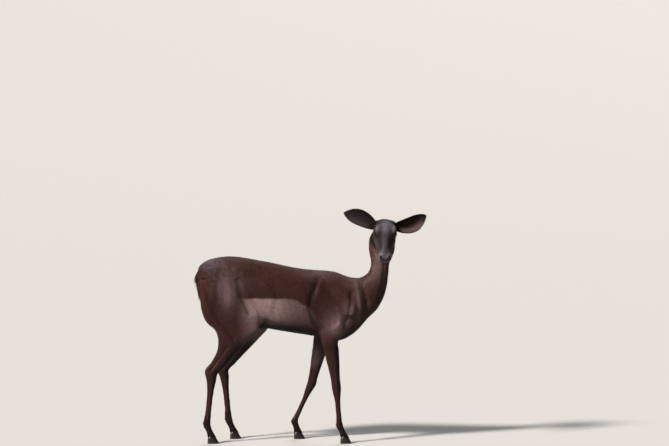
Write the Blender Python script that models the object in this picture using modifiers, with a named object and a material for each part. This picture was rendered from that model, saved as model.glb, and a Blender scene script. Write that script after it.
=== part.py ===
"""Impala ewe of the black colour form, standing with her head turned to her right, at life size.

Metres, +Z up, +X from tail to chest, -Y to her right. The origin is on the ground, under the
middle of her bounding box. The flesh is lofted limb by limb, fused into one body, and parted
into named pieces by thin cuts. Ears, eyes, tail and hooves are solids of their own.
"""

import math

import bmesh
import bpy
import numpy as np
from mathutils import Euler, Matrix, Vector

# Driving dimensions
FORE_HALF_STANCE = 0.082
HIND_HALF_STANCE = 0.082
CUT_GAP = 0.0004
FUSE_VOXEL = 0.006
SOFTEN_REACH = 0.024
BODY_TRIANGLES = 5600
SIDES = (("right", -1), ("left", 1))
# The middle of her bounding box, in the frame below, whose y = 0 is the midline of her body.
BOX_MIDDLE = Vector((0.0, -0.0465, 0.0))

# Head
HEAD_SCALE = 1.08
HEAD_PITCH = math.radians(44)
HEAD_TURN = math.radians(-90)
HEAD_ROLL = math.radians(-2)
OCCIPUT = Vector((0.368, -0.020, 1.087))
EYE_RADIUS = 0.0172
EYE_CENTRE = Vector((0.0970, 0.0365, 0.0215))

# Ears
EAR_LENGTH = 0.176
EAR_HALF_ARC = 0.044
EAR_THICKNESS = 0.003

# Feet
CORONET_HEIGHT = 0.036
CLAW_SPREAD = 0.0120

COAT_BROWN = (0.034, 0.019, 0.016, 1.0)
LEG_BROWN = (0.020, 0.011, 0.009, 1.0)
FACE_GREY = (0.030, 0.024, 0.026, 1.0)
HOOF_BLACK = (0.012, 0.010, 0.010, 1.0)
EYE_BROWN = (0.010, 0.006, 0.004, 1.0)


# ---------------------------------------------------------------- sections of the body
# A section is an oval between two side-view points (x, z): a, on the back or front line, and
# b, on the belly or rear line. It lies at y, is 2 * half_width across, and is wider towards
# a where egg is above 0 and towards b where it is below.

def section(a, b, y, half_width, egg=0.0):
    """A row of numbers for an upright section, from two side-view points."""
    return (a[0], y, a[1], b[0], y, b[1], 0.0, 1.0, 0.0, half_width, egg)


def turned_section(centre, half_depth, turn, half_width, egg=0.0):
    """A level section of the neck, whose nape-to-throat line is turned about the vertical."""
    depth = Vector((-math.cos(turn), math.sin(turn), 0.0)) * half_depth
    side = Vector((math.sin(turn), math.cos(turn), 0.0))
    return (*(Vector(centre) + depth), *(Vector(centre) - depth), *side, half_width, egg)


TRUNK = [
    section((-0.560, 0.815), (-0.552, 0.775), 0, 0.012),
    section((-0.547, 0.858), (-0.540, 0.725), 0, 0.045),
    section((-0.515, 0.887), (-0.515, 0.680), 0, 0.070, 0.10),
    section((-0.465, 0.903), (-0.465, 0.650), 0, 0.084, 0.15),
    section((-0.400, 0.911), (-0.400, 0.615), 0, 0.090, 0.20),
    section((-0.330, 0.906), (-0.330, 0.585), 0, 0.092, 0.12),
    section((-0.260, 0.895), (-0.255, 0.563), 0, 0.096, 0.00),
    section((-0.180, 0.881), (-0.175, 0.550), 0, 0.105, -0.10),
    section((-0.095, 0.862), (-0.090, 0.536), 0, 0.110, -0.12),
    section((-0.010, 0.848), (-0.005, 0.522), 0, 0.107, -0.10),
    section((0.065, 0.842), (0.075, 0.505), 0, 0.096, -0.12),
    section((0.125, 0.838), (0.150, 0.493), 0, 0.084, -0.15),
    section((0.175, 0.815), (0.220, 0.532), 0, 0.078, -0.05),
    section((0.220, 0.790), (0.284, 0.598), 0, 0.068),
    section((0.260, 0.770), (0.335, 0.650), 0, 0.054),
    section((0.290, 0.755), (0.360, 0.695), 0, 0.034),
]

NECK = [
    section((0.075, 0.780), (0.240, 0.600), 0, 0.040),
    section((0.105, 0.815), (0.292, 0.618), 0, 0.060),
    section((0.140, 0.830), (0.340, 0.660), 0, 0.066),
    section((0.187, 0.812), (0.368, 0.714), 0, 0.060),
    section((0.240, 0.806), (0.383, 0.772), 0, 0.050),
    section((0.280, 0.825), (0.389, 0.826), 0, 0.042),
    section((0.300, 0.868), (0.394, 0.880), 0, 0.0375),
    turned_section((0.3530, -0.003, 0.922), 0.0590, math.radians(8), 0.0385),
    turned_section((0.3545, -0.006, 0.965), 0.0660, math.radians(18), 0.0425),
    turned_section((0.3540, -0.012, 1.005), 0.0640, math.radians(35), 0.0460),
    turned_section((0.3590, -0.024, 1.035), 0.0560, math.radians(60), 0.0460),
    turned_section((0.3660, -0.034, 1.060), 0.0400, math.radians(80), 0.0380),
]


def limb(joints, y, rows):
    """Sections down a leg: each row is (joint, share of the way to the next joint, front
    reach, back reach, half width, outward shift, slope of the section in degrees)."""
    made = []
    outward = math.copysign(1.0, y)
    for joint, share, front, back, half_width, shift, slope in rows:
        start, end = Vector(joints[joint]), Vector(joints[min(joint + 1, len(joints) - 1)])
        on_bone = start.lerp(end, share)
        ahead = Vector((math.cos(math.radians(slope)), math.sin(math.radians(slope))))
        made.append(section(
            on_bone + ahead * front, on_bone - ahead * back,
            y + outward * shift, half_width,
        ))
    return made


# Joints of each leg in the side view: shoulder or hip, elbow or stifle, knee or hock, fetlock,
# middle of the coronet, and a point inside the hoof where the loft ends.
FORE_JOINTS = {
    "right": [(0.150, 0.640), (0.100, 0.505), (0.133, 0.274), (0.149, 0.086), (0.170, 0.036),
              (0.180, 0.012)],
    "left": [(0.130, 0.640), (0.062, 0.500), (0.008, 0.266), (-0.074, 0.088), (-0.060, 0.036),
             (-0.052, 0.012)],
}
HIND_JOINTS = {
    "right": [(-0.419, 0.760), (-0.300, 0.560), (-0.474, 0.342), (-0.500, 0.088), (-0.480, 0.036),
              (-0.470, 0.012)],
    "left": [(-0.408, 0.750), (-0.251, 0.555), (-0.424, 0.345), (-0.398, 0.088), (-0.376, 0.036),
             (-0.366, 0.012)],
}

# Down each leg: joint, share of the way to the next one, reach of the flesh in front of and
# behind the bone, half width, shift away from the body, slope of the section in degrees.
FORE_ROWS = [
    (0, -0.35, 0.060, 0.050, 0.0180, -0.040, -20),
    (0, -0.10, 0.082, 0.064, 0.0280, -0.031, -18),
    (0, 0.20, 0.084, 0.072, 0.0340, -0.023, -14),
    (0, 0.55, 0.068, 0.064, 0.0350, -0.015, -10),
    (0, 0.82, 0.052, 0.054, 0.0330, -0.010, -6),
    (1, 0.00, 0.044, 0.046, 0.0300, -0.007, -4),
    (1, 0.18, 0.040, 0.040, 0.0270, -0.006, 0),
    (1, 0.40, 0.035, 0.034, 0.0235, -0.005, 0),
    (1, 0.65, 0.0280, 0.0270, 0.0205, -0.003, 0),
    (1, 0.87, 0.0232, 0.0240, 0.0195, -0.002, 0),
    (2, 0.00, 0.0232, 0.0250, 0.0210, -0.002, 0),
    (2, 0.12, 0.0200, 0.0225, 0.0188, -0.001, 0),
    (2, 0.28, 0.0155, 0.0175, 0.0145, 0.000, 0),
    (2, 0.60, 0.0130, 0.0155, 0.0125, 0.000, 0),
    (2, 0.86, 0.0140, 0.0175, 0.0142, 0.000, 0),
    (3, 0.00, 0.0172, 0.0210, 0.0175, 0.000, 6),
    (3, 0.45, 0.0155, 0.0170, 0.0160, 0.000, 14),
    (3, 0.95, 0.0190, 0.0185, 0.0190, 0.000, 4),
    (4, 0.60, 0.0195, 0.0190, 0.0190, 0.000, 0),
]

HIND_ROWS = [
    (0, -0.55, 0.050, 0.050, 0.0150, -0.045, 0),
    (0, -0.30, 0.085, 0.085, 0.0280, -0.037, 4),
    (0, -0.05, 0.105, 0.118, 0.0390, -0.031, 8),
    (0, 0.22, 0.114, 0.148, 0.0460, -0.027, 12),
    (0, 0.50, 0.104, 0.170, 0.0480, -0.025, 10),
    (0, 0.78, 0.080, 0.178, 0.0430, -0.020, 6),
    (1, 0.00, 0.056, 0.170, 0.0360, -0.015, 0),
    (1, 0.16, 0.050, 0.130, 0.0320, -0.013, -6),
    (1, 0.36, 0.041, 0.090, 0.0270, -0.011, -14),
    (1, 0.60, 0.031, 0.056, 0.0225, -0.009, -22),
    (1, 0.82, 0.0255, 0.0430, 0.0190, -0.008, -25),
    (2, 0.00, 0.0250, 0.0410, 0.0200, -0.007, -14),
    (2, 0.12, 0.0228, 0.0285, 0.0192, -0.006, -4),
    (2, 0.28, 0.0175, 0.0212, 0.0158, -0.004, 0),
    (2, 0.60, 0.0142, 0.0175, 0.0132, -0.001, 0),
    (2, 0.86, 0.0150, 0.0188, 0.0148, 0.000, 0),
    (3, 0.00, 0.0178, 0.0215, 0.0178, 0.000, 6),
    (3, 0.45, 0.0155, 0.0170, 0.0160, 0.000, 14),
    (3, 0.95, 0.0190, 0.0185, 0.0190, 0.000, 4),
    (4, 0.60, 0.0195, 0.0190, 0.0190, 0.000, 0),
]

# The head on its own axis: x from the nape to the nose, then the heights of the forehead and
# jaw lines, the half width, and the egg.
HEAD_PROFILE = [
    (-0.020, -0.012, -0.036, 0.015, 0.00),
    (-0.010, 0.004, -0.046, 0.029, 0.00),
    (0.006, 0.019, -0.056, 0.040, 0.00),
    (0.026, 0.037, -0.066, 0.0455, 0.00),
    (0.050, 0.048, -0.067, 0.0480, 0.03),
    (0.076, 0.051, -0.062, 0.0485, 0.08),
    (0.100, 0.048, -0.056, 0.0465, 0.08),
    (0.124, 0.041, -0.051, 0.0430, 0.04),
    (0.150, 0.033, -0.046, 0.0385, 0.00),
    (0.176, 0.025, -0.041, 0.0345, 0.00),
    (0.198, 0.019, -0.037, 0.0320, 0.00),
    (0.216, 0.014, -0.034, 0.0310, 0.03),
    (0.230, 0.006, -0.029, 0.0270, 0.03),
    (0.239, -0.004, -0.021, 0.0165, 0.00),
]
# Swellings of the head: ear base, jaw, brow, rear rim of the orbit, cheekbone and nostril, as
# centre and radii in the same frame. Each has a twin on the other side.
HEAD_SWELLINGS = [
    ((0.030, 0.037, 0.001), (0.027, 0.0185, 0.025)),
    ((0.064, 0.034, -0.030), (0.044, 0.0180, 0.034)),
    ((0.086, 0.035, 0.034), (0.034, 0.0190, 0.015)),
    ((0.072, 0.041, 0.019), (0.024, 0.0150, 0.022)),
    ((0.112, 0.036, -0.002), (0.040, 0.0140, 0.018)),
    ((0.221, 0.0180, -0.002), (0.016, 0.0150, 0.013)),
]

TAIL = [
    section((-0.525, 0.880), (-0.515, 0.850), 0, 0.016),
    section((-0.548, 0.864), (-0.520, 0.836), 0, 0.0185),
    section((-0.561, 0.826), (-0.530, 0.816), 0, 0.0195),
    section((-0.566, 0.780), (-0.536, 0.778), 0, 0.0205),
    section((-0.562, 0.730), (-0.533, 0.732), 0, 0.0205),
    section((-0.553, 0.680), (-0.527, 0.686), 0, 0.0190),
    section((-0.546, 0.640), (-0.526, 0.646), 0, 0.0150),
    section((-0.540, 0.612), (-0.528, 0.616), 0, 0.0070),
]

# Shoulder blade, triceps, point of the shoulder and hip bone: centre, radii, tilt about Y and
# lean towards the spine in degrees. Each has a twin on the other side.
BODY_SWELLINGS = [
    ((0.145, 0.064, 0.720), (0.125, 0.024, 0.055), 52, 20),
    ((0.090, 0.072, 0.615), (0.075, 0.026, 0.055), 30, 6),
    ((0.200, 0.044, 0.662), (0.062, 0.028, 0.070), -35, 0),
    ((-0.345, 0.060, 0.842), (0.045, 0.022, 0.028), 10, 25),
]

# Ears: the middle of the root in the head's frame, then the way the ear points and the way it
# opens, in the body's frame, and how far its middle hangs below that line.
EARS = {
    "right": ((0.036, -0.036, -0.006), (-0.165, 0.016, 0.074), (0.10, -1.00, 0.05), -0.010),
    "left": ((0.036, 0.036, -0.006), (0.164, 0.016, 0.060), (-0.10, -1.00, 0.05), 0.018),
}
# Share of the ear's length, then the half arc across it as a share of the widest, and the
# angle in degrees that the half arc bends through.
EAR_SHAPE = [
    (0.00, 0.46, 88), (0.16, 0.86, 78), (0.32, 1.01, 68), (0.50, 1.04, 57),
    (0.68, 0.92, 46), (0.84, 0.62, 38), (0.95, 0.27, 30), (1.00, 0.06, 25),
]

# A claw from its top to the ground: height, reach behind and ahead of the coronet's middle,
# and half width.
CLAW_ROWS = [
    (0.0358, 0.0165, 0.0160, 0.0092),
    (0.0240, 0.0176, 0.0228, 0.0099),
    (0.0120, 0.0185, 0.0300, 0.0103),
    (0.0030, 0.0190, 0.0352, 0.0102),
    (0.0000, 0.0182, 0.0358, 0.0096),
]
CLAW_SPLAY = math.radians(2.5)

# Where the body is parted, in the side view, each a point and the way out of the trunk.
NECK_CUT = (Vector((0.195, 0.0, 0.805)), Vector((0.097, 0.0, 0.177)))
HEAD_CUT = (Vector((0.360, -0.015, 0.955)), Vector((0.0, -0.845, 0.534)))
ELBOW_CUT = 0.486
KNEE_CUT = 0.270
STIFLE_CUT = 0.492
HOCK_CUT = 0.344
FORE_AND_HIND = -0.190
THIGH_OUTLINE = [(-0.215, 0.400), (-0.215, 0.575), (-0.620, 0.728), (-0.620, 0.400)]


# ---------------------------------------------------------------- modelling tools
def clear_scene():
    for obj in list(bpy.data.objects):
        bpy.data.objects.remove(obj)


def collection(name):
    made = bpy.data.collections.new(name)
    bpy.context.scene.collection.children.link(made)
    return made


def material(name, colour, roughness):
    made = bpy.data.materials.new(name)
    made.use_nodes = True
    shader = made.node_tree.nodes["Principled BSDF"]
    shader.inputs["Base Color"].default_value = colour
    shader.inputs["Roughness"].default_value = roughness
    shader.inputs["Metallic"].default_value = 0.0
    return made


def new_object(name, mesh, home, finish=None):
    obj = bpy.data.objects.new(name, mesh)
    home.objects.link(obj)
    if finish:
        obj.data.materials.clear()
        obj.data.materials.append(finish)
    return obj


def spaced_rows(rows, count):
    """Rows at even steps along a smooth curve through the given rows."""
    rows = np.array(rows, float)
    centres = (rows[:, 0:3] + rows[:, 3:6]) / 2
    steps = np.linalg.norm(np.diff(centres, axis=0), axis=1)
    reach = np.concatenate([[0.0], np.cumsum(np.maximum(steps, 1e-4))])
    slopes = np.gradient(rows, reach, axis=0)
    at = np.linspace(0.0, reach[-1], count)
    index = np.clip(np.searchsorted(reach, at) - 1, 0, len(reach) - 2)
    span = (reach[index + 1] - reach[index])[:, None]
    t = (at - reach[index])[:, None] / span
    return (
        (2 * t**3 - 3 * t**2 + 1) * rows[index]
        + (t**3 - 2 * t**2 + t) * span * slopes[index]
        + (3 * t**2 - 2 * t**3) * rows[index + 1]
        + (t**3 - t**2) * span * slopes[index + 1]
    )


def loft(rows, count, sides=32, place=Matrix.Identity(4), squareness=1.0):
    """A closed bmesh through the sections, with flat ends. A squareness below 1 fills out the
    corners of each oval."""
    bm = bmesh.new()
    rings = []
    for row in spaced_rows(rows, count):
        a, b, side = Vector(row[0:3]), Vector(row[3:6]), Vector(row[6:9]).normalized()
        half_width, egg = row[9], row[10]
        ring = []
        for step in range(sides):
            angle = 2 * math.pi * step / sides
            along = math.copysign(abs(math.cos(angle)) ** squareness, math.cos(angle))
            across = math.copysign(abs(math.sin(angle)) ** squareness, math.sin(angle))
            point = (a + b) / 2 + (a - b) / 2 * along
            point += side * half_width * across * (1 + egg * along)
            ring.append(bm.verts.new(place @ point))
        rings.append(ring)
    for ring, following in zip(rings, rings[1:]):
        for k in range(sides):
            nxt = (k + 1) % sides
            bm.faces.new((ring[k], ring[nxt], following[nxt], following[k]))
    bm.faces.new(rings[0][::-1])
    bm.faces.new(rings[-1])
    bmesh.ops.recalc_face_normals(bm, faces=bm.faces)
    return bm


def ellipsoid(centre, radii, tilt=0.0, lean=0.0, place=Matrix.Identity(4)):
    """A closed bmesh of an ellipsoid, tilted about Y and then leant about X, in degrees."""
    bm = bmesh.new()
    turn = Matrix.Rotation(math.radians(lean), 4, "X") @ Matrix.Rotation(math.radians(tilt), 4, "Y")
    matrix = place @ Matrix.Translation(centre) @ turn @ Matrix.Diagonal((*radii, 1.0))
    bmesh.ops.create_uvsphere(bm, u_segments=14, v_segments=9, radius=1.0, matrix=matrix)
    return bm


def joined(name, pieces, home):
    """One object that holds every bmesh in the list."""
    mesh = bpy.data.meshes.new(name)
    whole = bmesh.new()
    for bm in pieces:
        part = bpy.data.meshes.new("piece")
        bm.to_mesh(part)
        bm.free()
        whole.from_mesh(part)
        bpy.data.meshes.remove(part)
    whole.to_mesh(mesh)
    whole.free()
    return new_object(name, mesh, home)


def applied(obj):
    """The object with its modifiers made part of its mesh."""
    bpy.context.view_layer.update()
    graph = bpy.context.evaluated_depsgraph_get()
    mesh = bpy.data.meshes.new_from_object(obj.evaluated_get(graph))
    obj.modifiers.clear()
    old = obj.data
    obj.data = mesh
    bpy.data.meshes.remove(old)
    return obj


def head_matrix():
    """From the head's own frame, nose along +X, to the body's."""
    turn = Euler((HEAD_ROLL, HEAD_PITCH, HEAD_TURN), "XYZ").to_matrix().to_4x4()
    return Matrix.Translation(OCCIPUT) @ turn @ Matrix.Scale(HEAD_SCALE, 4)


# ---------------------------------------------------------------- the fused body
def flesh_pieces():
    """Every loft and swelling of the body, before they are fused."""
    head = head_matrix()
    pieces = [loft(TRUNK, 44, 40), loft(NECK, 30, 32)]
    for side, sign in SIDES:
        fore = limb(FORE_JOINTS[side], sign * FORE_HALF_STANCE, FORE_ROWS)
        hind = limb(HIND_JOINTS[side], sign * HIND_HALF_STANCE, HIND_ROWS)
        pieces += [loft(fore, 70, 24), loft(hind, 80, 24)]
        for (x, y, z), radii, tilt, lean in BODY_SWELLINGS:
            pieces.append(ellipsoid((x, sign * y, z), radii, tilt, sign * lean))
        for (x, y, z), radii in HEAD_SWELLINGS:
            pieces.append(ellipsoid((x, sign * y, z), radii, place=head))
    profile = [
        section((x, top), (x, bottom), 0, half, egg) for x, top, bottom, half, egg in HEAD_PROFILE
    ]
    pieces.append(loft(profile, 40, 32, head, squareness=0.8))
    return pieces


def soften_weight(height):
    """How freely the flesh is smoothed: fully on the trunk, little on legs and head."""
    trunk_share = min(max((height - 0.40) / 0.14, 0.0), 1.0)
    head_share = min(max((height - 0.88) / 0.06, 0.0), 1.0)
    return 0.06 + 0.94 * trunk_share * (1 - 0.9 * head_share)


def fused_body():
    """The whole body as one closed mesh of BODY_TRIANGLES faces."""
    body = joined("fused_body", flesh_pieces(), bpy.context.scene.collection)
    remesh = body.modifiers.new("fuse", "REMESH")
    remesh.mode = "VOXEL"
    remesh.voxel_size = FUSE_VOXEL
    applied(body)
    group = body.vertex_groups.new(name="soften")
    for vertex in body.data.vertices:
        group.add([vertex.index], soften_weight(vertex.co.z), "REPLACE")
    smooth = body.modifiers.new("soften", "SMOOTH")
    smooth.factor = 0.5
    smooth.iterations = round((SOFTEN_REACH / FUSE_VOXEL) ** 2 / smooth.factor)
    smooth.vertex_group = group.name
    applied(body)
    thin = body.modifiers.new("thin_out", "DECIMATE")
    thin.ratio = BODY_TRIANGLES / sum(len(face.vertices) - 2 for face in body.data.polygons)
    applied(body)
    body.vertex_groups.clear()
    return body


# ---------------------------------------------------------------- cutters
def as_cutter(obj):
    obj.hide_render = True
    obj.display_type = "WIRE"
    return obj


def box_cutter(name, low, high, home):
    bm = bmesh.new()
    size = Vector(high) - Vector(low)
    matrix = Matrix.Translation((Vector(low) + Vector(high)) / 2) @ Matrix.Diagonal((*size, 1.0))
    bmesh.ops.create_cube(bm, size=1.0, matrix=matrix)
    return as_cutter(joined(name, [bm], home))


def half_space(name, cut, start, home):
    """A great cube on the far side of a cut, which starts a given way beyond it."""
    point, normal = cut[0], cut[1].normalized()
    size = 3.0
    turn = normal.to_track_quat("X", "Z").to_matrix().to_4x4()
    bm = bmesh.new()
    matrix = Matrix.Translation(point + normal * (start + size / 2)) @ turn
    bmesh.ops.create_cube(bm, size=size, matrix=matrix)
    return as_cutter(joined(name, [bm], home))


def prism_cutter(name, outline, near, far, home):
    """A side-view outline drawn out across the body, from y = near to y = far."""
    bm = bmesh.new()
    face = bm.faces.new([bm.verts.new((x, near, z)) for x, z in outline])
    grown = bmesh.ops.extrude_face_region(bm, geom=[face])["geom"]
    tops = [item for item in grown if isinstance(item, bmesh.types.BMVert)]
    bmesh.ops.translate(bm, vec=(0, far - near, 0), verts=tops)
    bmesh.ops.recalc_face_normals(bm, faces=bm.faces)
    return as_cutter(joined(name, [bm], home))


def cut(obj, operation, cutter):
    boolean = obj.modifiers.new(operation.lower() + "_" + cutter.name, "BOOLEAN")
    boolean.operation = operation
    boolean.solver = "EXACT"
    boolean.object = cutter


# ---------------------------------------------------------------- the named pieces
def flesh_piece(name, body, home, finish, kept=(), removed=()):
    """A copy of the fused body, kept within some cutters and cleared of others."""
    obj = new_object(name, body.data.copy(), home, finish)
    for cutter in kept:
        cut(obj, "INTERSECT", cutter)
    for cutter in removed:
        cut(obj, "DIFFERENCE", cutter)
    return obj


def part_trunk_neck_head(body, part, cutters, eyes):
    past_neck = half_space("past_neck", NECK_CUT, CUT_GAP / 2, cutters)
    short_of_neck = half_space("short_of_neck", NECK_CUT, -CUT_GAP / 2, cutters)
    past_head = half_space("past_head", HEAD_CUT, CUT_GAP / 2, cutters)
    short_of_head = half_space("short_of_head", HEAD_CUT, -CUT_GAP / 2, cutters)
    legs = box_cutter("all_legs", (-1, -1, -1), (1, 1, ELBOW_CUT + CUT_GAP), cutters)
    rise = CUT_GAP / math.cos(math.radians(20))
    outline = [(x + (CUT_GAP if x > -0.5 else 0), z + rise) for x, z in THIGH_OUTLINE]
    thighs = prism_cutter("both_thighs", outline, -0.3, 0.3, cutters)
    coat = material("coat_trunk", COAT_BROWN, 0.5)
    flesh_piece("trunk", body, part, coat, removed=[short_of_neck, legs, thighs])
    coat = material("coat_neck", COAT_BROWN, 0.5)
    flesh_piece("neck", body, part, coat, kept=[past_neck], removed=[short_of_head])
    coat = material("coat_head", FACE_GREY, 0.5)
    sockets = [as_cutter(socket) for socket in eyes]
    flesh_piece("head", body, part, coat, kept=[past_neck, past_head], removed=sockets)


def part_legs(body, part, cutters):
    for side, sign in SIDES:
        near, far = sorted((sign * CUT_GAP / 2, sign * 0.3))
        levels = {
            "forearm": (FORE_AND_HIND, 1, KNEE_CUT + CUT_GAP / 2, ELBOW_CUT),
            "fore_cannon": (FORE_AND_HIND, 1, CORONET_HEIGHT, KNEE_CUT - CUT_GAP / 2),
            "gaskin": (-1, FORE_AND_HIND, HOCK_CUT + CUT_GAP / 2, STIFLE_CUT - CUT_GAP / 2),
            "hind_cannon": (-1, FORE_AND_HIND, CORONET_HEIGHT, HOCK_CUT - CUT_GAP / 2),
        }
        for piece, (rear, front, low, high) in levels.items():
            name = f"{piece}_{side}"
            slab = box_cutter("around_" + name, (rear, near, low), (front, far, high), cutters)
            flesh_piece(name, body, part, material("coat_" + name, LEG_BROWN, 0.5), kept=[slab])
        name = f"thigh_{side}"
        outline = [(x, max(z, STIFLE_CUT + CUT_GAP / 2)) for x, z in THIGH_OUTLINE]
        prism = prism_cutter("around_" + name, outline, near, far, cutters)
        flesh_piece(name, body, part, material("coat_" + name, COAT_BROWN, 0.5), kept=[prism])


def ear_row(share):
    """Half arc and bend of the ear at a share of its length."""
    shares, arcs, bends = zip(*EAR_SHAPE)
    return EAR_HALF_ARC * np.interp(share, shares, arcs), math.radians(np.interp(share, shares, bends))


def ear_point(side, share, across):
    """A point of the ear's middle surface: share along it, across from -1 to 1."""
    root, way, opening, bow = EARS[side]
    root, way = head_matrix() @ Vector(root), Vector(way).normalized()
    opening = (Vector(opening) - way * way.dot(Vector(opening))).normalized()
    upward = opening.cross(way) if side == "left" else way.cross(opening)
    upward = upward if upward.z > 0 else -upward
    arc, bend = ear_row(share)
    radius, angle = arc / bend, bend * across
    centre = root + way * EAR_LENGTH * share - upward * bow * math.sin(math.pi * share)
    return centre + upward * radius * math.sin(angle) + opening * radius * (1 - math.cos(angle))


def build_ear(side, part, clearance):
    bm = bmesh.new()
    grid = [
        [bm.verts.new(ear_point(side, i / 10, -1 + 2 * j / 6)) for j in range(7)] for i in range(11)
    ]
    for row, following in zip(grid, grid[1:]):
        for j in range(6):
            bm.faces.new((row[j], row[j + 1], following[j + 1], following[j]))
    ear = joined(f"ear_{side}", [bm], part)
    ear.data.materials.append(material(f"coat_ear_{side}", LEG_BROWN, 0.55))
    shell = ear.modifiers.new("thickness", "SOLIDIFY")
    shell.thickness = EAR_THICKNESS
    shell.offset = 0.0
    cut(ear, "DIFFERENCE", clearance)
    return ear


def build_eyes(part, cutters):
    """The eyeballs, and the sockets that clear them."""
    sockets = []
    for side, sign in SIDES:
        centre = head_matrix() @ Vector((EYE_CENTRE.x, sign * EYE_CENTRE.y, EYE_CENTRE.z))
        for name, radius in ((f"eye_{side}", EYE_RADIUS), (f"socket_{side}", EYE_RADIUS + CUT_GAP)):
            bm = ellipsoid(centre, (radius, radius, radius))
            if name.startswith("eye"):
                eye = joined(name, [bm], part)
                eye.data.materials.append(material(name, EYE_BROWN, 0.1))
                eye.data.shade_smooth()
            else:
                sockets.append(joined(name, [bm], cutters))
    return sockets


def build_tail(part, clearance):
    tail = joined("tail", [loft(TAIL, 14, 10)], part)
    tail.data.materials.append(material("coat_tail", LEG_BROWN, 0.55))
    cut(tail, "DIFFERENCE", clearance)


def build_claws(part):
    rows = [
        (-back, 0, height, ahead, 0, height, 0, 1, 0, half, 0.35)
        for height, back, ahead, half in CLAW_ROWS
    ]
    stances = (("fore", FORE_JOINTS, FORE_HALF_STANCE), ("hind", HIND_JOINTS, HIND_HALF_STANCE))
    for limb_name, joints, stance in stances:
        for side, sign in SIDES:
            coronet_x = joints[side][4][0]
            for claw, inward in (("inner", -sign), ("outer", sign)):
                place = Matrix.Translation((coronet_x, sign * stance + inward * CLAW_SPREAD, 0))
                place = place @ Matrix.Rotation(inward * CLAW_SPLAY, 4, "Z")
                name = f"claw_{limb_name}_{side}_{claw}"
                obj = joined(name, [loft(rows, 5, 12, place)], part)
                obj.data.materials.append(material(name, HOOF_BLACK, 0.4))


def main():
    clear_scene()
    part = collection("impala_ewe")
    cutters = collection("cutters")
    body = fused_body()
    clearance = new_object("body_clearance", body.data.copy(), cutters)
    swell = clearance.modifiers.new("clearance", "DISPLACE")
    swell.strength = CUT_GAP
    swell.mid_level = 0.0
    as_cutter(clearance)
    sockets = build_eyes(part, cutters)
    part_trunk_neck_head(body, part, cutters, sockets)
    part_legs(body, part, cutters)
    for side, _ in SIDES:
        build_ear(side, part, clearance)
    build_tail(part, clearance)
    build_claws(part)
    bpy.data.objects.remove(body)
    for obj in bpy.data.objects:
        obj.location = -BOX_MIDDLE


if __name__ == "__main__":
    main()
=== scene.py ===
"""Finishes the impala ewe: one skin, short coat, ears, tail, eyes and claws, and the studio."""

import math
from functools import partial
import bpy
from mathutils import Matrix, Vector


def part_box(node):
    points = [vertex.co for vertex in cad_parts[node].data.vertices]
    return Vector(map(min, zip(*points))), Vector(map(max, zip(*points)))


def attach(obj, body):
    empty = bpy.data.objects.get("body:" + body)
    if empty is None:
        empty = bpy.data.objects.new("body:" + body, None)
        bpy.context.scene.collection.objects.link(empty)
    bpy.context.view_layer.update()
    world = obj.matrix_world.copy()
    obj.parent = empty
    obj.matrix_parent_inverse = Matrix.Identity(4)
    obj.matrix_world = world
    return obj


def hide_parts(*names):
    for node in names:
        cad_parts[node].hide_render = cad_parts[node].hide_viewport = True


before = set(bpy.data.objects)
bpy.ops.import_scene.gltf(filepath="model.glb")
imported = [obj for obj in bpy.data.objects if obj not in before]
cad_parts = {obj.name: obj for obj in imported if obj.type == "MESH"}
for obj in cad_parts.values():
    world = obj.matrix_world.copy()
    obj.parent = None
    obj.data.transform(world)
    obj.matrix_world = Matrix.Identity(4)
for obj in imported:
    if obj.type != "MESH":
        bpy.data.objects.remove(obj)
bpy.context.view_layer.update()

from types import SimpleNamespace

import bmesh
import bpy
import numpy as np
from bpy.props import FloatProperty, FloatVectorProperty, IntProperty, PointerProperty
from mathutils import Euler, Matrix, Vector
from mathutils.kdtree import KDTree

bl_info = {
    "name": "Impala ewe",
    "version": (1, 0, 0),
    "blender": (4, 5, 0),
    "location": "3D View > Sidebar > Impala",
    "description": "Builds a life-size black impala ewe with a mesh coat",
    "category": "Object",
}

SIDES = (("right", -1), ("left", 1))


def midline():
    """Where the ewe's own midline stands, halfway between her outer fore claws."""
    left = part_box("claw_fore_left_outer")[1].y
    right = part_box("claw_fore_right_outer")[0].y
    return Vector((0.0, (left + right) / 2, 0.0))


MIDLINE = midline()

# ---------------------------------------------------------------- the form, as in the solids
# A section is an oval between two side-view points (x, z): a, on the back or front line, and
# b, on the underside or rear line. It lies at y, is 2 * half_width across, and is wider towards
# a where egg is above 0 and towards b where it is below.
# Lengths are in metres. SOFTEN_REACH is how far creases between the lofts are smoothed, a
# foot's two claws are twice CLAW_SPREAD apart, and PATCH_SIZE is each tuft's share of the
# unwrap, which is 1 across.
HALF_STANCE = 0.082
HEAD_SCALE = 1.08
HEAD_PITCH = math.radians(44)
HEAD_TURN = math.radians(-90)
HEAD_ROLL = math.radians(-2)
OCCIPUT = Vector((0.368, -0.020, 1.087))
EYE_RADIUS = 0.0172
EYE_CENTRE = Vector((0.0970, 0.0365, 0.0215))
EAR_LENGTH = 0.176
EAR_HALF_ARC = 0.044
PATCH_SIZE = 0.003
CLAW_SPREAD = 0.0120
CLAW_SPLAY = math.radians(2.5)
SOFTEN_REACH = 0.024


def section(a, b, half_width, egg=0.0, y=0.0):
    """A row of numbers for an upright section, from two side-view points."""
    return (a[0], y, a[1], b[0], y, b[1], 0.0, 1.0, 0.0, half_width, egg)


def turned_section(centre, half_depth, turn, half_width, egg=0.0):
    """A level section of the neck, whose line from the nape to its front is turned about the
    vertical.
    """
    depth = Vector((-math.cos(turn), math.sin(turn), 0.0)) * half_depth
    side = Vector((math.sin(turn), math.cos(turn), 0.0))
    return (*(Vector(centre) + depth), *(Vector(centre) - depth), *side, half_width, egg)


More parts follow.
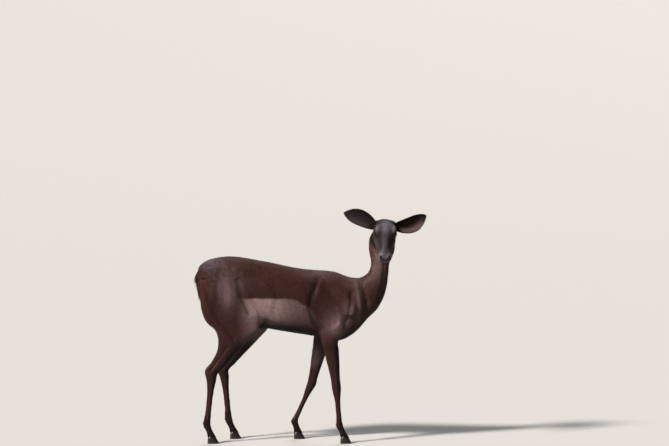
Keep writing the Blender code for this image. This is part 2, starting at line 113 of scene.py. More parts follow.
TRUNK = [
    section((-0.560, 0.815), (-0.552, 0.775), 0.012),
    section((-0.547, 0.858), (-0.540, 0.725), 0.045),
    section((-0.515, 0.887), (-0.515, 0.680), 0.070, 0.10),
    section((-0.465, 0.903), (-0.465, 0.650), 0.084, 0.15),
    section((-0.400, 0.911), (-0.400, 0.615), 0.090, 0.20),
    section((-0.330, 0.906), (-0.330, 0.585), 0.092, 0.12),
    section((-0.260, 0.895), (-0.255, 0.563), 0.096, 0.00),
    section((-0.180, 0.881), (-0.175, 0.550), 0.105, -0.10),
    section((-0.095, 0.862), (-0.090, 0.536), 0.110, -0.12),
    section((-0.010, 0.848), (-0.005, 0.522), 0.107, -0.10),
    section((0.065, 0.842), (0.075, 0.505), 0.096, -0.12),
    section((0.125, 0.838), (0.150, 0.493), 0.084, -0.15),
    section((0.175, 0.815), (0.220, 0.532), 0.078, -0.05),
    section((0.220, 0.790), (0.284, 0.598), 0.068),
    section((0.260, 0.770), (0.335, 0.650), 0.054),
    section((0.290, 0.755), (0.360, 0.695), 0.034),
]

NECK = [
    section((0.075, 0.780), (0.240, 0.600), 0.040),
    section((0.105, 0.815), (0.292, 0.618), 0.060),
    section((0.140, 0.830), (0.340, 0.660), 0.066),
    section((0.187, 0.812), (0.368, 0.714), 0.060),
    section((0.240, 0.806), (0.383, 0.772), 0.050),
    section((0.280, 0.825), (0.389, 0.826), 0.042),
    section((0.300, 0.868), (0.394, 0.880), 0.0375),
    turned_section((0.3530, -0.003, 0.922), 0.0590, math.radians(8), 0.0385),
    turned_section((0.3545, -0.006, 0.965), 0.0660, math.radians(18), 0.0425),
    turned_section((0.3540, -0.012, 1.005), 0.0640, math.radians(35), 0.0460),
    turned_section((0.3590, -0.024, 1.035), 0.0560, math.radians(60), 0.0460),
    turned_section((0.3660, -0.034, 1.060), 0.0400, math.radians(80), 0.0380),
]


def limb(joints, sign, rows):
    """Sections down a leg on one side, from its joints and rows as listed below."""
    made = []
    for joint, share, front, back, half_width, shift, slope in rows:
        on_bone = Vector(joints[joint]).lerp(Vector(joints[joint + 1]), share)
        ahead = Vector((math.cos(math.radians(slope)), math.sin(math.radians(slope))))
        y = sign * (HALF_STANCE + shift)
        made.append(section(on_bone + ahead * front, on_bone - ahead * back, half_width, y=y))
    return made


# Joints of each leg in the side view: shoulder or hip, elbow or stifle, knee or hock, fetlock,
# middle of the coronet, and a point inside the hoof where the loft ends.
FORE_JOINTS = {
    "right": [(0.150, 0.640), (0.100, 0.505), (0.133, 0.274), (0.149, 0.086), (0.170, 0.036),
              (0.180, 0.012)],
    "left": [(0.130, 0.640), (0.062, 0.500), (0.008, 0.266), (-0.074, 0.088), (-0.060, 0.036),
             (-0.052, 0.012)],
}
HIND_JOINTS = {
    "right": [(-0.419, 0.760), (-0.300, 0.560), (-0.474, 0.342), (-0.500, 0.088), (-0.480, 0.036),
              (-0.470, 0.012)],
    "left": [(-0.408, 0.750), (-0.251, 0.555), (-0.424, 0.345), (-0.398, 0.088), (-0.376, 0.036),
             (-0.366, 0.012)],
}

# Down each leg: joint, share of the way to the next one, reach of the flesh in front of and
# behind the bone, half width, shift away from the body, slope of the section in degrees. The
# pastern is alike on all four.
PASTERN_ROWS = [
    (3, 0.45, 0.0155, 0.0170, 0.0160, 0.000, 14),
    (3, 0.95, 0.0190, 0.0185, 0.0190, 0.000, 4),
    (4, 0.60, 0.0195, 0.0190, 0.0190, 0.000, 0),
]
FORE_ROWS = [
    (0, -0.35, 0.060, 0.050, 0.0180, -0.040, -20),
    (0, -0.10, 0.082, 0.064, 0.0280, -0.031, -18),
    (0, 0.20, 0.084, 0.072, 0.0340, -0.023, -14),
    (0, 0.55, 0.068, 0.064, 0.0350, -0.015, -10),
    (0, 0.82, 0.052, 0.054, 0.0330, -0.010, -6),
    (1, 0.00, 0.044, 0.046, 0.0300, -0.007, -4),
    (1, 0.18, 0.040, 0.040, 0.0270, -0.006, 0),
    (1, 0.40, 0.035, 0.034, 0.0235, -0.005, 0),
    (1, 0.65, 0.0280, 0.0270, 0.0205, -0.003, 0),
    (1, 0.87, 0.0232, 0.0240, 0.0195, -0.002, 0),
    (2, 0.00, 0.0232, 0.0250, 0.0210, -0.002, 0),
    (2, 0.12, 0.0200, 0.0225, 0.0188, -0.001, 0),
    (2, 0.28, 0.0155, 0.0175, 0.0145, 0.000, 0),
    (2, 0.60, 0.0130, 0.0155, 0.0125, 0.000, 0),
    (2, 0.86, 0.0140, 0.0175, 0.0142, 0.000, 0),
    (3, 0.00, 0.0172, 0.0210, 0.0175, 0.000, 6),
    *PASTERN_ROWS,
]

HIND_ROWS = [
    (0, -0.55, 0.050, 0.050, 0.0150, -0.045, 0),
    (0, -0.30, 0.085, 0.085, 0.0280, -0.037, 4),
    (0, -0.05, 0.105, 0.118, 0.0390, -0.031, 8),
    (0, 0.22, 0.114, 0.148, 0.0460, -0.027, 12),
    (0, 0.50, 0.104, 0.170, 0.0480, -0.025, 10),
    (0, 0.78, 0.080, 0.178, 0.0430, -0.020, 6),
    (1, 0.00, 0.056, 0.170, 0.0360, -0.015, 0),
    (1, 0.16, 0.050, 0.130, 0.0320, -0.013, -6),
    (1, 0.36, 0.041, 0.090, 0.0270, -0.011, -14),
    (1, 0.60, 0.031, 0.056, 0.0225, -0.009, -22),
    (1, 0.82, 0.0255, 0.0430, 0.0190, -0.008, -25),
    (2, 0.00, 0.0250, 0.0410, 0.0200, -0.007, -14),
    (2, 0.12, 0.0228, 0.0285, 0.0192, -0.006, -4),
    (2, 0.28, 0.0175, 0.0212, 0.0158, -0.004, 0),
    (2, 0.60, 0.0142, 0.0175, 0.0132, -0.001, 0),
    (2, 0.86, 0.0150, 0.0188, 0.0148, 0.000, 0),
    (3, 0.00, 0.0178, 0.0215, 0.0178, 0.000, 6),
    *PASTERN_ROWS,
]
LIMBS = (("fore", FORE_JOINTS, FORE_ROWS), ("hind", HIND_JOINTS, HIND_ROWS))

# The head on its own axis: x from the nape to the nose, then the heights of the brow and
# jaw lines, the half width, and the egg.
HEAD_PROFILE = [
    (-0.020, -0.012, -0.036, 0.015, 0.00),
    (-0.010, 0.004, -0.046, 0.029, 0.00),
    (0.006, 0.019, -0.056, 0.040, 0.00),
    (0.026, 0.037, -0.066, 0.0455, 0.00),
    (0.050, 0.048, -0.067, 0.0480, 0.03),
    (0.076, 0.051, -0.062, 0.0485, 0.08),
    (0.100, 0.048, -0.056, 0.0465, 0.08),
    (0.124, 0.041, -0.051, 0.0430, 0.04),
    (0.150, 0.033, -0.046, 0.0385, 0.00),
    (0.176, 0.025, -0.041, 0.0345, 0.00),
    (0.198, 0.019, -0.037, 0.0320, 0.00),
    (0.216, 0.014, -0.034, 0.0310, 0.03),
    (0.230, 0.006, -0.029, 0.0270, 0.03),
    (0.239, -0.004, -0.021, 0.0165, 0.00),
]
# Swellings of the head: ear base, jaw, brow, rear rim of the orbit, cheekbone and nostril, as
# centre and radii in the same frame. Each has a twin on the other side.
HEAD_SWELLINGS = [
    ((0.030, 0.037, 0.001), (0.027, 0.0185, 0.025)),
    ((0.064, 0.034, -0.030), (0.044, 0.0180, 0.034)),
    ((0.086, 0.035, 0.034), (0.034, 0.0190, 0.015)),
    ((0.072, 0.041, 0.019), (0.024, 0.0150, 0.022)),
    ((0.112, 0.036, -0.002), (0.040, 0.0140, 0.018)),
    ((0.221, 0.0180, -0.002), (0.016, 0.0150, 0.013)),
]

# Shoulder blade, triceps, point of the shoulder and hip bone: centre, radii, tilt about Y and
# lean towards the spine in degrees. Each has a twin on the other side.
BODY_SWELLINGS = [
    ((0.145, 0.064, 0.720), (0.125, 0.024, 0.055), 52, 20),
    ((0.090, 0.072, 0.615), (0.075, 0.026, 0.055), 30, 6),
    ((0.200, 0.044, 0.662), (0.062, 0.028, 0.070), -35, 0),
    ((-0.345, 0.060, 0.842), (0.045, 0.022, 0.028), 10, 25),
]

# Ears: the middle of the root in the head's frame, then the way the ear points and the way it
# opens, in the body's frame, and how far its middle hangs below that line.
EARS = {
    "right": ((0.036, -0.036, -0.006), (-0.165, 0.016, 0.074), (0.10, -1.00, 0.05), -0.010),
    "left": ((0.036, 0.036, -0.006), (0.164, 0.016, 0.060), (-0.10, -1.00, 0.05), 0.018),
}
# How pale the hair inside each ear is drawn. The right ear's lining is painted darker, as painted
# shade.
EAR_LINING_LIGHT = {"right": 0.4, "left": 1.0}
# Share of the ear's length, then the half arc across it as a share of the widest, and the
# angle in degrees that the half arc bends through.
EAR_SHAPE = [
    (0.00, 0.46, 88), (0.16, 0.86, 78), (0.32, 1.01, 68), (0.50, 1.04, 57),
    (0.68, 0.92, 46), (0.84, 0.62, 38), (0.95, 0.27, 30), (1.00, 0.06, 25),
]

# A claw from its top to the ground: height, reach behind and ahead of the coronet's middle,
# and half width.
CLAW_ROWS = [
    (0.0358, 0.0165, 0.0160, 0.0092),
    (0.0240, 0.0176, 0.0228, 0.0099),
    (0.0120, 0.0185, 0.0300, 0.0103),
    (0.0030, 0.0190, 0.0352, 0.0102),
    (0.0000, 0.0182, 0.0358, 0.0096),
]

# ---------------------------------------------------------------- finer form of the skin
COAT_DEPTH = 0.0012
HEAD_MIDDLE = 0.110
RIB_SPACING = 0.030
RIB_DEPTH = 0.0006
TAIL_CORE = [
    section((-0.525, 0.880), (-0.515, 0.850), 0.014),
    section((-0.545, 0.862), (-0.522, 0.838), 0.0140),
    section((-0.554, 0.826), (-0.536, 0.818), 0.0130),
    section((-0.557, 0.780), (-0.544, 0.778), 0.0115),
    section((-0.552, 0.730), (-0.542, 0.732), 0.0100),
    section((-0.544, 0.690), (-0.535, 0.694), 0.0070),
]

# Touches of the modelling tool: centre, radii, how far the skin moves out (in if below 0).
# Each that is off the midline has a twin on the other side.
BODY_TOUCHES = [
    ((-0.262, 0.090, 0.805), (0.042, 0.040, 0.036), -0.0075),
    ((-0.338, 0.074, 0.862), (0.022, 0.020, 0.014), 0.0040),
    ((-0.500, 0.050, 0.862), (0.024, 0.020, 0.018), 0.0035),
    ((-0.300, 0.000, 0.915), (0.180, 0.009, 0.030), 0.0020),
    ((0.060, 0.000, 0.850), (0.060, 0.014, 0.020), 0.0030),
    ((0.210, 0.052, 0.665), (0.045, 0.035, 0.045), 0.0028),
    ((0.075, 0.085, 0.640), (0.050, 0.030, 0.045), 0.0045),
    ((0.118, 0.085, 0.770), (0.022, 0.030, 0.034), -0.0030),
    ((0.285, 0.000, 0.640), (0.030, 0.012, 0.040), -0.0060),
    ((0.090, 0.000, 0.500), (0.070, 0.014, 0.030), -0.0050),
    ((-0.375, 0.105, 0.690), (0.045, 0.030, 0.070), 0.0040),
    ((-0.250, 0.085, 0.572), (0.022, 0.030, 0.022), 0.0050),
    ((-0.215, 0.060, 0.590), (0.026, 0.030, 0.020), -0.0060),
    ((-0.520, 0.000, 0.760), (0.040, 0.012, 0.080), -0.0080),
    ((0.300, 0.040, 0.800), (0.026, 0.020, 0.040), 0.0025),
]
# Valleys between muscles, on both outer sides: a path of side-view points (x, z), half width
# and depth.
BODY_VALLEYS = [
    ([(0.045, 0.800), (0.012, 0.730), (0.004, 0.660), (0.028, 0.600), (0.058, 0.560)],
     0.016, 0.0102),
    ([(0.205, 0.740), (0.200, 0.660), (0.178, 0.600), (0.168, 0.555)], 0.012, 0.0072),
    ([(0.060, 0.790), (0.110, 0.735), (0.155, 0.690)], 0.020, 0.0060),
    ([(0.240, 0.830), (0.266, 0.760), (0.280, 0.690), (0.270, 0.625), (0.230, 0.565)],
     0.012, 0.0078),
    ([(-0.515, 0.800), (-0.492, 0.700), (-0.440, 0.600), (-0.372, 0.520)], 0.012, 0.0096),
    ([(-0.350, 0.800), (-0.328, 0.710), (-0.292, 0.640)], 0.013, 0.0078),
    ([(-0.435, 0.850), (-0.450, 0.780), (-0.450, 0.700)], 0.014, 0.0054),
    ([(-0.175, 0.780), (-0.155, 0.700), (-0.170, 0.640)], 0.020, 0.0048),
    ([(0.340, 0.720), (0.362, 0.820), (0.370, 0.930)], 0.009, 0.0042),
]
# Raised edges of muscles and the fold before the shoulder, in the same way.
BODY_RIDGES = [
    ([(0.232, 0.790), (0.240, 0.735), (0.249, 0.690), (0.246, 0.640), (0.210, 0.585),
      (0.185, 0.545)], 0.009, 0.0055),
    ([(0.140, 0.660), (0.152, 0.625), (0.150, 0.590), (0.120, 0.560)], 0.009, 0.0052),
    ([(0.085, 0.815), (0.140, 0.750), (0.190, 0.700)], 0.018, 0.0030),
    ([(-0.395, 0.800), (-0.385, 0.740), (-0.390, 0.680)], 0.018, 0.0052),
    ([(-0.320, 0.770), (-0.290, 0.700), (-0.258, 0.640)], 0.014, 0.0046),
]
# Valleys down both sides of each leg: first joint, share and reach behind the bone at either
# end, half width and depth.
LEG_VALLEYS = {
    "fore": [(2, 0.12, 0.0060, 3, -0.14, 0.0050, 0.0030, 0.0022),
             (1, 0.35, 0.0040, 2, -0.10, 0.0020, 0.0060, 0.0018)],
    "hind": [(2, 0.14, 0.0075, 3, -0.14, 0.0060, 0.0032, 0.0024),
             (1, 0.40, 0.0340, 2, -0.06, 0.0230, 0.0085, 0.0050)],
}
# Touches on the head, in its own frame.
HEAD_TOUCHES = [
    ((0.124, 0.036, 0.018), (0.010, 0.010, 0.010), -0.0022),
    ((0.050, 0.050, 0.014), (0.014, 0.012, 0.014), -0.0022),
    ((0.056, 0.050, -0.034), (0.028, 0.016, 0.022), 0.0020),
    ((0.114, 0.046, -0.012), (0.040, 0.010, 0.0060), 0.0022),
    ((0.122, 0.042, -0.034), (0.026, 0.012, 0.012), -0.0024),
    ((0.156, 0.032, -0.010), (0.028, 0.012, 0.012), -0.0022),
    ((0.170, 0.000, 0.032), (0.055, 0.008, 0.016), 0.0016),
    ((0.165, 0.024, 0.024), (0.050, 0.008, 0.014), -0.0034),
    ((0.096, 0.000, 0.052), (0.022, 0.014, 0.014), -0.0016),
    ((0.204, 0.026, 0.004), (0.014, 0.010, 0.012), 0.0012),
    ((0.214, 0.025, -0.018), (0.014, 0.010, 0.008), 0.0018),
    ((0.222, 0.000, -0.030), (0.014, 0.016, 0.010), 0.0012),
    ((0.196, 0.024, -0.032), (0.012, 0.010, 0.008), -0.0012),
]
# Mouth, nostrils and the cleft of the lip: path, half width and depth, in the head's frame.
MUZZLE_VALLEYS = [
    ([(0.2400, 0.000, -0.0160), (0.2340, 0.0130, -0.0180), (0.2200, 0.0250, -0.0205),
      (0.1960, 0.0300, -0.0230), (0.1680, 0.0330, -0.0220)], 0.0017, 0.0036),
    ([(0.2360, 0.0095, -0.0030), (0.2310, 0.0170, 0.0020), (0.2225, 0.0215, 0.0055)],
     0.0040, 0.0095),
    ([(0.2420, 0.0, -0.0070), (0.2420, 0.0, -0.0150)], 0.0012, 0.0018),
]
# The eyelids' section: how far past the edge of the opening, and how far above the eyeball, in
# millimetres.
LID = [
    (1.2, -2.4), (-0.3, -0.5), (-0.3, 0.50), (0.1, 1.35), (0.9, 1.85), (1.8, 1.75), (2.9, 0.95),
    (3.8, 0.85), (5.4, 1.25), (7.4, 1.05), (9.6, 0.45), (12.0, -0.50), (15.0, -2.4), (18.0, -5.0),
    (15.0, -7.0), (6.0, -6.5),
]
# Ways that the left eye looks and that its opening runs, in the head's frame, and the angles
# that the opening reaches from its middle.
EYE_OUTWARD = Vector((0.50, 1.0, 0.14))
EYE_FORWARD = Vector((1.0, -0.20, -0.42))
EYE_HALF_LENGTH = math.radians(56)
LID_REACH = {"upper": math.radians(39), "lower": math.radians(31)}


# ---------------------------------------------------------------- mesh tools
def new_object(name, data):
    obj = bpy.data.objects.new(name, data)
    bpy.context.scene.collection.objects.link(obj)
    return obj


def smooth_curve(places, values, at):
    """The values at other places of a smooth curve through the given values."""
    places, values = np.array(places, float), np.array(values, float)
    slopes = np.gradient(values, places, axis=0)
    at = np.clip(at, places[0], places[-1])
    k = np.clip(np.searchsorted(places, at) - 1, 0, len(places) - 2)
    shape = np.shape(at) + (1,) * (values.ndim - 1)
    span = np.reshape(places[k + 1] - places[k], shape)
    t = np.reshape(at - places[k], shape) / span
    return (
        (2 * t**3 - 3 * t**2 + 1) * values[k] + (t**3 - 2 * t**2 + t) * span * slopes[k]
        + (3 * t**2 - 2 * t**3) * values[k + 1] + (t**3 - t**2) * span * slopes[k + 1]
    )


def spaced_rows(rows, count):
    """Rows at even steps along a smooth curve through the given rows."""
    rows = np.array(rows, float)
    centres = (rows[:, 0:3] + rows[:, 3:6]) / 2
    steps = np.linalg.norm(np.diff(centres, axis=0), axis=1)
    reach = np.concatenate([[0.0], np.cumsum(np.maximum(steps, 1e-4))])
    return smooth_curve(reach, rows, np.linspace(0.0, reach[-1], count))


def bridge(bm, rings, closed=True):
    """Faces between each ring of points and the next, or between rows that stay open."""
    for ring, following in zip(rings, rings[1:]):
        for k in range(len(ring) if closed else len(ring) - 1):
            nxt = (k + 1) % len(ring)
            bm.faces.new((ring[k], ring[nxt], following[nxt], following[k]))


def loft(rows, count, sides, place=Matrix.Identity(4), squareness=1.0):
    """A closed bmesh through the sections, with flat ends. A squareness below 1 fills out the
    corners of each oval."""
    bm = bmesh.new()
    rings = []
    for row in spaced_rows(rows, count):
        a, b, side = Vector(row[0:3]), Vector(row[3:6]), Vector(row[6:9]).normalized()
        half_width, egg = row[9], row[10]
        ring = []
        for step in range(sides):
            angle = 2 * math.pi * step / sides
            along = math.copysign(abs(math.cos(angle)) ** squareness, math.cos(angle))
            across = math.copysign(abs(math.sin(angle)) ** squareness, math.sin(angle))
            point = (a + b) / 2 + (a - b) / 2 * along
            point += side * half_width * across * (1 + egg * along)
            ring.append(bm.verts.new(place @ point))
        rings.append(ring)
    bridge(bm, rings)
    bm.faces.new(rings[0][::-1])
    bm.faces.new(rings[-1])
    bmesh.ops.recalc_face_normals(bm, faces=bm.faces)
    return bm


def ellipsoid(centre, radii, tilt=0.0, lean=0.0, place=Matrix.Identity(4)):
    """A closed bmesh of an ellipsoid, tilted about Y and then leant about X, in degrees."""
    bm = bmesh.new()
    turn = Matrix.Rotation(math.radians(lean), 4, "X") @ Matrix.Rotation(math.radians(tilt), 4, "Y")
    matrix = place @ Matrix.Translation(centre) @ turn @ Matrix.Diagonal((*radii, 1.0))
    bmesh.ops.create_uvsphere(bm, u_segments=40, v_segments=24, radius=1.0, matrix=matrix)
    return bm


def joined(name, pieces):
    """One object, in the place where the ewe stands, that holds every bmesh in the list."""
    mesh = bpy.data.meshes.new(name)
    whole = bmesh.new()
    for bm in pieces:
        part = bpy.data.meshes.new("piece")
        bm.to_mesh(part)
        bm.free()
        whole.from_mesh(part)
        bpy.data.meshes.remove(part)
    bmesh.ops.translate(whole, vec=MIDLINE, verts=whole.verts)
    whole.to_mesh(mesh)
    whole.free()
    return new_object(name, mesh)


def applied(obj):
    """The object with its modifiers made part of its mesh."""
    bpy.context.view_layer.update()
    graph = bpy.context.evaluated_depsgraph_get()
    mesh = bpy.data.meshes.new_from_object(obj.evaluated_get(graph))
    obj.modifiers.clear()
    old = obj.data
    obj.data = mesh
    bpy.data.meshes.remove(old)
    mesh.name = obj.name
    return obj


def vectors_of(items, field):
    """A row of three numbers from every item of a mesh."""
    flat = np.empty(len(items) * 3)
    items.foreach_get(field, flat)
    return flat.reshape(-1, 3)


def points_of(mesh):
    return vectors_of(mesh.vertices, "co")


def normals_of(mesh):
    return vectors_of(mesh.vertex_normals, "vector")


def put_points(mesh, points):
    mesh.vertices.foreach_set("co", points.ravel())
    mesh.update()


def push_out(mesh, reach):
    """Move the mesh's points out along their normals, all alike or each by its own reach."""
    put_points(mesh, points_of(mesh) + normals_of(mesh) * np.reshape(reach, (-1, 1)))


def moved(points, matrix):
    matrix = np.array(matrix)
    return points @ matrix[:3, :3].T + matrix[:3, 3]


def head_matrix():
    """From the head's own frame, nose along +X, to the body's."""
    turn = Euler((HEAD_ROLL, HEAD_PITCH, HEAD_TURN), "XYZ").to_matrix().to_4x4()
    return Matrix.Translation(OCCIPUT) @ turn @ Matrix.Scale(HEAD_SCALE, 4)


def in_body(points):
    """Points in the frame whose y = 0 is the ewe's midline."""
    return points - np.array(MIDLINE)


def in_head(points):
    return moved(in_body(points), head_matrix().inverted())


def folded(points):
    """Points with the right side laid over the left."""
    return np.abs(points) * (0, 1, 0) + points * (1, 0, 1)


def ramp(value, low, high):
    """0 below low, 1 above high, and smooth between them, which may be given either way."""
    t = np.clip((value - low) / (high - low), 0.0, 1.0)
    return t * t * (3 - 2 * t)


def bump(points, centre, radii):
    """1 at the centre, and fading smoothly with the given radii."""
    away = (points - np.array(centre)) / np.array(radii)
    return np.exp(-0.5 * (away**2).sum(axis=1))


def unit(ways):
    return ways / np.maximum(np.linalg.norm(ways, axis=-1, keepdims=True), 1e-6)


def on_head(body):
    """1 on the head, 0 on the neck, and smooth between them."""
    poll, poll_to_face = (0.360, -0.015, 0.955), np.array((0.0, -0.845, 0.534))
    return ramp((body - poll) @ poll_to_face, -0.012, 0.028) * ramp(body[:, 2], 0.86, 0.90)


def relax(mesh, weight, rounds):
    """Smooth the mesh by each point's own weight."""
    points = points_of(mesh)
    flat = np.empty(len(mesh.edges) * 2, dtype=np.int32)
    mesh.edges.foreach_get("vertices", flat)
    ends = flat.reshape(-1, 2)
    count = np.maximum(np.bincount(flat, minlength=len(points)), 1)
    share = 0.5 * np.broadcast_to(weight, len(points))
    for _ in range(rounds):
        for axis in range(3):
            total = np.bincount(ends[:, 0], points[ends[:, 1], axis], len(points))
            total += np.bincount(ends[:, 1], points[ends[:, 0], axis], len(points))
            points[:, axis] += share * (total / count - points[:, axis])
    put_points(mesh, points)


def from_path(points, path):
    """Each point's distance to a path of straight stretches."""
    nearest = np.full(len(points), np.inf)
    for start, end in zip(path, path[1:]):
        start, end = np.array(start), np.array(end)
        stretch = end - start
        t = np.clip((points - start) @ stretch / (stretch @ stretch), 0.0, 1.0)
        away = np.linalg.norm(points - start - t[:, None] * stretch, axis=1)
        nearest = np.minimum(nearest, away)
    return nearest


def touched(points, touches):
    """How far touches of the modelling tool move each point out."""
    out = np.zeros(len(points))
    for (x, y, z), radii, amount in touches:
        for sign in ((1,) if y == 0 else (1, -1)):
            out += amount * bump(points, (x, sign * y, z), radii)
    return out


def carved(points, valleys):
    """How far valleys along paths, and their twins, move each point out, so below 0."""
    out = np.zeros(len(points))
    for path, half_width, depth in valleys:
        for sign in (1, -1):
            twin = [(x, sign * y, z) for x, y, z in path]
            cut = -depth * np.exp(-((from_path(points, twin) / half_width) ** 2))
            out = np.where(cut < -1e-5, np.minimum(out, cut), out)
    return out


def refine(mesh, chosen):
    """Split every face whose corners are all chosen points in four."""
    bm = bmesh.new()
    bm.from_mesh(mesh)
    faces = [face for face in bm.faces if all(chosen[vert.index] for vert in face.verts)]
    edges = list({edge for face in faces for edge in face.edges})
    bmesh.ops.subdivide_edges(bm, edges=edges, cuts=1, use_grid_fill=True, smooth=0.0)
    bm.to_mesh(mesh)
    bm.free()


# ---------------------------------------------------------------- the skin
def flesh_pieces():
    """Every loft and swelling of the body, before they are fused."""
    head = head_matrix()
    pieces = [
        loft(TRUNK, count=80, sides=64), loft(NECK, count=60, sides=56),
        loft(TAIL_CORE, count=30, sides=24),
    ]
    for side, sign in SIDES:
        for (_, joints, rows), count in zip(LIMBS, (120, 140)):
            pieces.append(loft(limb(joints[side], sign, rows), count, sides=36))
        for (x, y, z), radii, tilt, lean in BODY_SWELLINGS:
            pieces.append(ellipsoid((x, sign * y, z), radii, tilt, sign * lean))
        for (x, y, z), radii in HEAD_SWELLINGS:
            pieces.append(ellipsoid((x, sign * y, z), radii, place=head))
    profile = [
        section((x, top), (x, bottom), half, egg) for x, top, bottom, half, egg in HEAD_PROFILE
    ]
    pieces.append(loft(profile, count=70, sides=56, place=head, squareness=0.8))
    return pieces


def soften_weight(height):
    """How freely the flesh is smoothed: fully on the trunk, little on legs and head."""
    trunk_share = np.clip((height - 0.40) / 0.14, 0.0, 1.0)
    head_share = np.clip((height - 0.88) / 0.06, 0.0, 1.0)
    return 0.06 + 0.94 * trunk_share * (1 - 0.9 * head_share)


def leg_valleys(points):
    """How far the hollows between bone and tendon move each point out, on all four legs."""
    out = np.zeros(len(points))
    for limb_name, joints, _ in LIMBS:
        for side, sign in SIDES:
            near = ramp(np.abs(points[:, 1] - sign * HALF_STANCE), 0.060, 0.040)
            for first, share, reach, last, last_share, last_reach, width, depth in (
                LEG_VALLEYS[limb_name]
            ):
                ends = []
                for joint, along, back in ((first, share, reach), (last, last_share, last_reach)):
                    onward = Vector(joints[side][joint + 1 if along > 0 else joint - 1])
                    x, z = Vector(joints[side][joint]).lerp(onward, abs(along))
                    ends.append((x - back, 0.0, z))
                flat = points * (1, 0, 1)
                out -= near * depth * np.exp(-((from_path(flat, ends) / width) ** 2))
    return out


def eye_frame(sign):
    """Middle of an eye, and its outward, forward and upward ways, in the head's frame."""
    centre, outward, forward = (
        Vector((way.x, sign * way.y, way.z)) for way in (EYE_CENTRE, EYE_OUTWARD, EYE_FORWARD)
    )
    outward.normalize()
    forward = (forward - outward * forward.dot(outward)).normalized()
    upward = outward.cross(forward)
    return centre, outward, forward, upward if upward.z > 0 else -upward


def lid_edge(around):
    """Angle from the middle of the eye to the edge of its opening, towards each way around.
    The opening is partly a lens with pointed corners and partly an oval."""
    lens_share = 0.55
    reach = np.where(np.sin(around) > 0, LID_REACH["upper"], LID_REACH["lower"])
    across, along = np.abs(np.sin(around)), np.cos(around) / EYE_HALF_LENGTH
    squared = np.maximum(reach * along**2, 1e-6)
    lens = (-across + np.sqrt(across**2 + 4 * reach * squared)) / (2 * squared)
    oval = 1 / np.sqrt(along**2 + (across / reach) ** 2)
    return lens_share * lens + (1 - lens_share) * oval


def around_eye(points, sign):
    """Distance of points from an eye's middle, and their angle past the edge of its opening."""
    centre, outward, forward, upward = (np.array(item) for item in eye_frame(sign))
    away = points - centre
    distance = np.maximum(np.linalg.norm(away, axis=1), 1e-6)
    angle = np.arccos(np.clip(away @ outward / distance, -1, 1))
    edge = lid_edge(np.arctan2(away @ upward, away @ forward))
    return distance, angle - edge


def lid_point(sign, around, past, above):
    """A point of a lid in the body's frame, past the edge of the opening and above the eyeball
    in millimetres, and its way from the middle of the eye, in the head's frame."""
    centre, outward, forward, upward = eye_frame(sign)
    radius = EYE_RADIUS / HEAD_SCALE
    angle = float(lid_edge(np.array(around))) + past * 0.001 / radius
    way = forward * math.cos(around) + upward * math.sin(around)
    spot = outward * math.cos(angle) + way * math.sin(angle)
    return head_matrix() @ (centre + spot * (radius + above * 0.001)), way


def lid_solid(sign):
    """A closed ring of flesh that covers the eyeball, all but the opening."""
    steps = 96
    bm = bmesh.new()
    rings = []
    for past, above in LID:
        turns = [2 * math.pi * step / steps for step in range(steps)]
        rings.append([bm.verts.new(lid_point(sign, turn, past, above)[0]) for turn in turns])
    bridge(bm, rings + rings[:1])
    bmesh.ops.recalc_face_normals(bm, faces=bm.faces)
    return bm


def ear_point(side, share, across):
    """A point of the ear's middle surface: share along it, across from -1 to 1. Past tip_start
    the outline is rounded off."""
    tip_start, tip_length = 0.95, 0.0502
    root, way, opening, bow = EARS[side]
    root, way = head_matrix() @ Vector(root), Vector(way).normalized()
    opening = (Vector(opening) - way * way.dot(Vector(opening))).normalized()
    upward = way.cross(opening)
    upward = upward if upward.z > 0 else -upward
    shares, arcs, bends = zip(*EAR_SHAPE)
    arc = EAR_HALF_ARC * smooth_curve(shares, arcs, share)
    arc *= math.sqrt(max(1 - max(share - tip_start, 0) ** 2 / tip_length**2, 0.001))
    bend = math.radians(smooth_curve(shares, bends, share))
    radius, angle = arc / bend, bend * across
    centre = root + way * EAR_LENGTH * share - upward * bow * math.sin(math.pi * share)
    return centre + upward * radius * math.sin(angle) + opening * radius * (1 - math.cos(angle))


def ear_solid(side):
    """A closed leaf, cupped along its length, ribbed inside, thin at its edge and tip. Its root
    is sunk into the head."""
    rows, columns, sunk, rib_turns = 58, 24, 0.06, 1.6
    tip_thickness, more_at_root, rib_height = 0.0016, 0.0030, 0.0007
    shares = [-sunk + (1 + sunk) * i / rows for i in range(rows + 1)]
    across = [math.sin(math.pi / 2 * (-1 + 2 * j / columns)) for j in range(columns + 1)]
    middle = np.array([[ear_point(side, s, a) for a in across] for s in shares])
    normals = np.cross(np.gradient(middle, axis=0), np.gradient(middle, axis=1))
    normals /= np.linalg.norm(normals, axis=2)[:, :, None]
    if normals[rows // 2, columns // 2] @ np.array(EARS[side][2]) < 0:
        normals = -normals
    s, a = np.array(shares)[:, None], np.array(across)[None, :]
    thickness = tip_thickness + more_at_root * np.clip(1 - s, 0, 1) ** 2
    thickness = thickness * (1 - 0.62 * np.abs(a) ** 3)
    ribs = np.cos(a * rib_turns * 2 * math.pi) * np.clip(1 - 1.3 * s, 0, 1) * (1 - a**2)
    inner = middle + normals * (thickness / 2 + rib_height * ribs)[:, :, None]
    outer = middle - normals * (thickness / 2)[:, :, None]
    bm = bmesh.new()
    front, back = ([[bm.verts.new(p) for p in row] for row in grid] for grid in (inner, outer))
    bridge(bm, front, closed=False)
    bridge(bm, back, closed=False)
    for i in range(rows):
        for j in (0, -1):
            bm.faces.new((front[i][j], front[i + 1][j], back[i + 1][j], back[i][j]))
    for j in range(columns):
        for i in (0, -1):
            bm.faces.new((front[i][j], front[i][j + 1], back[i][j + 1], back[i][j]))
    bmesh.ops.recalc_face_normals(bm, faces=bm.faces)
    return bm


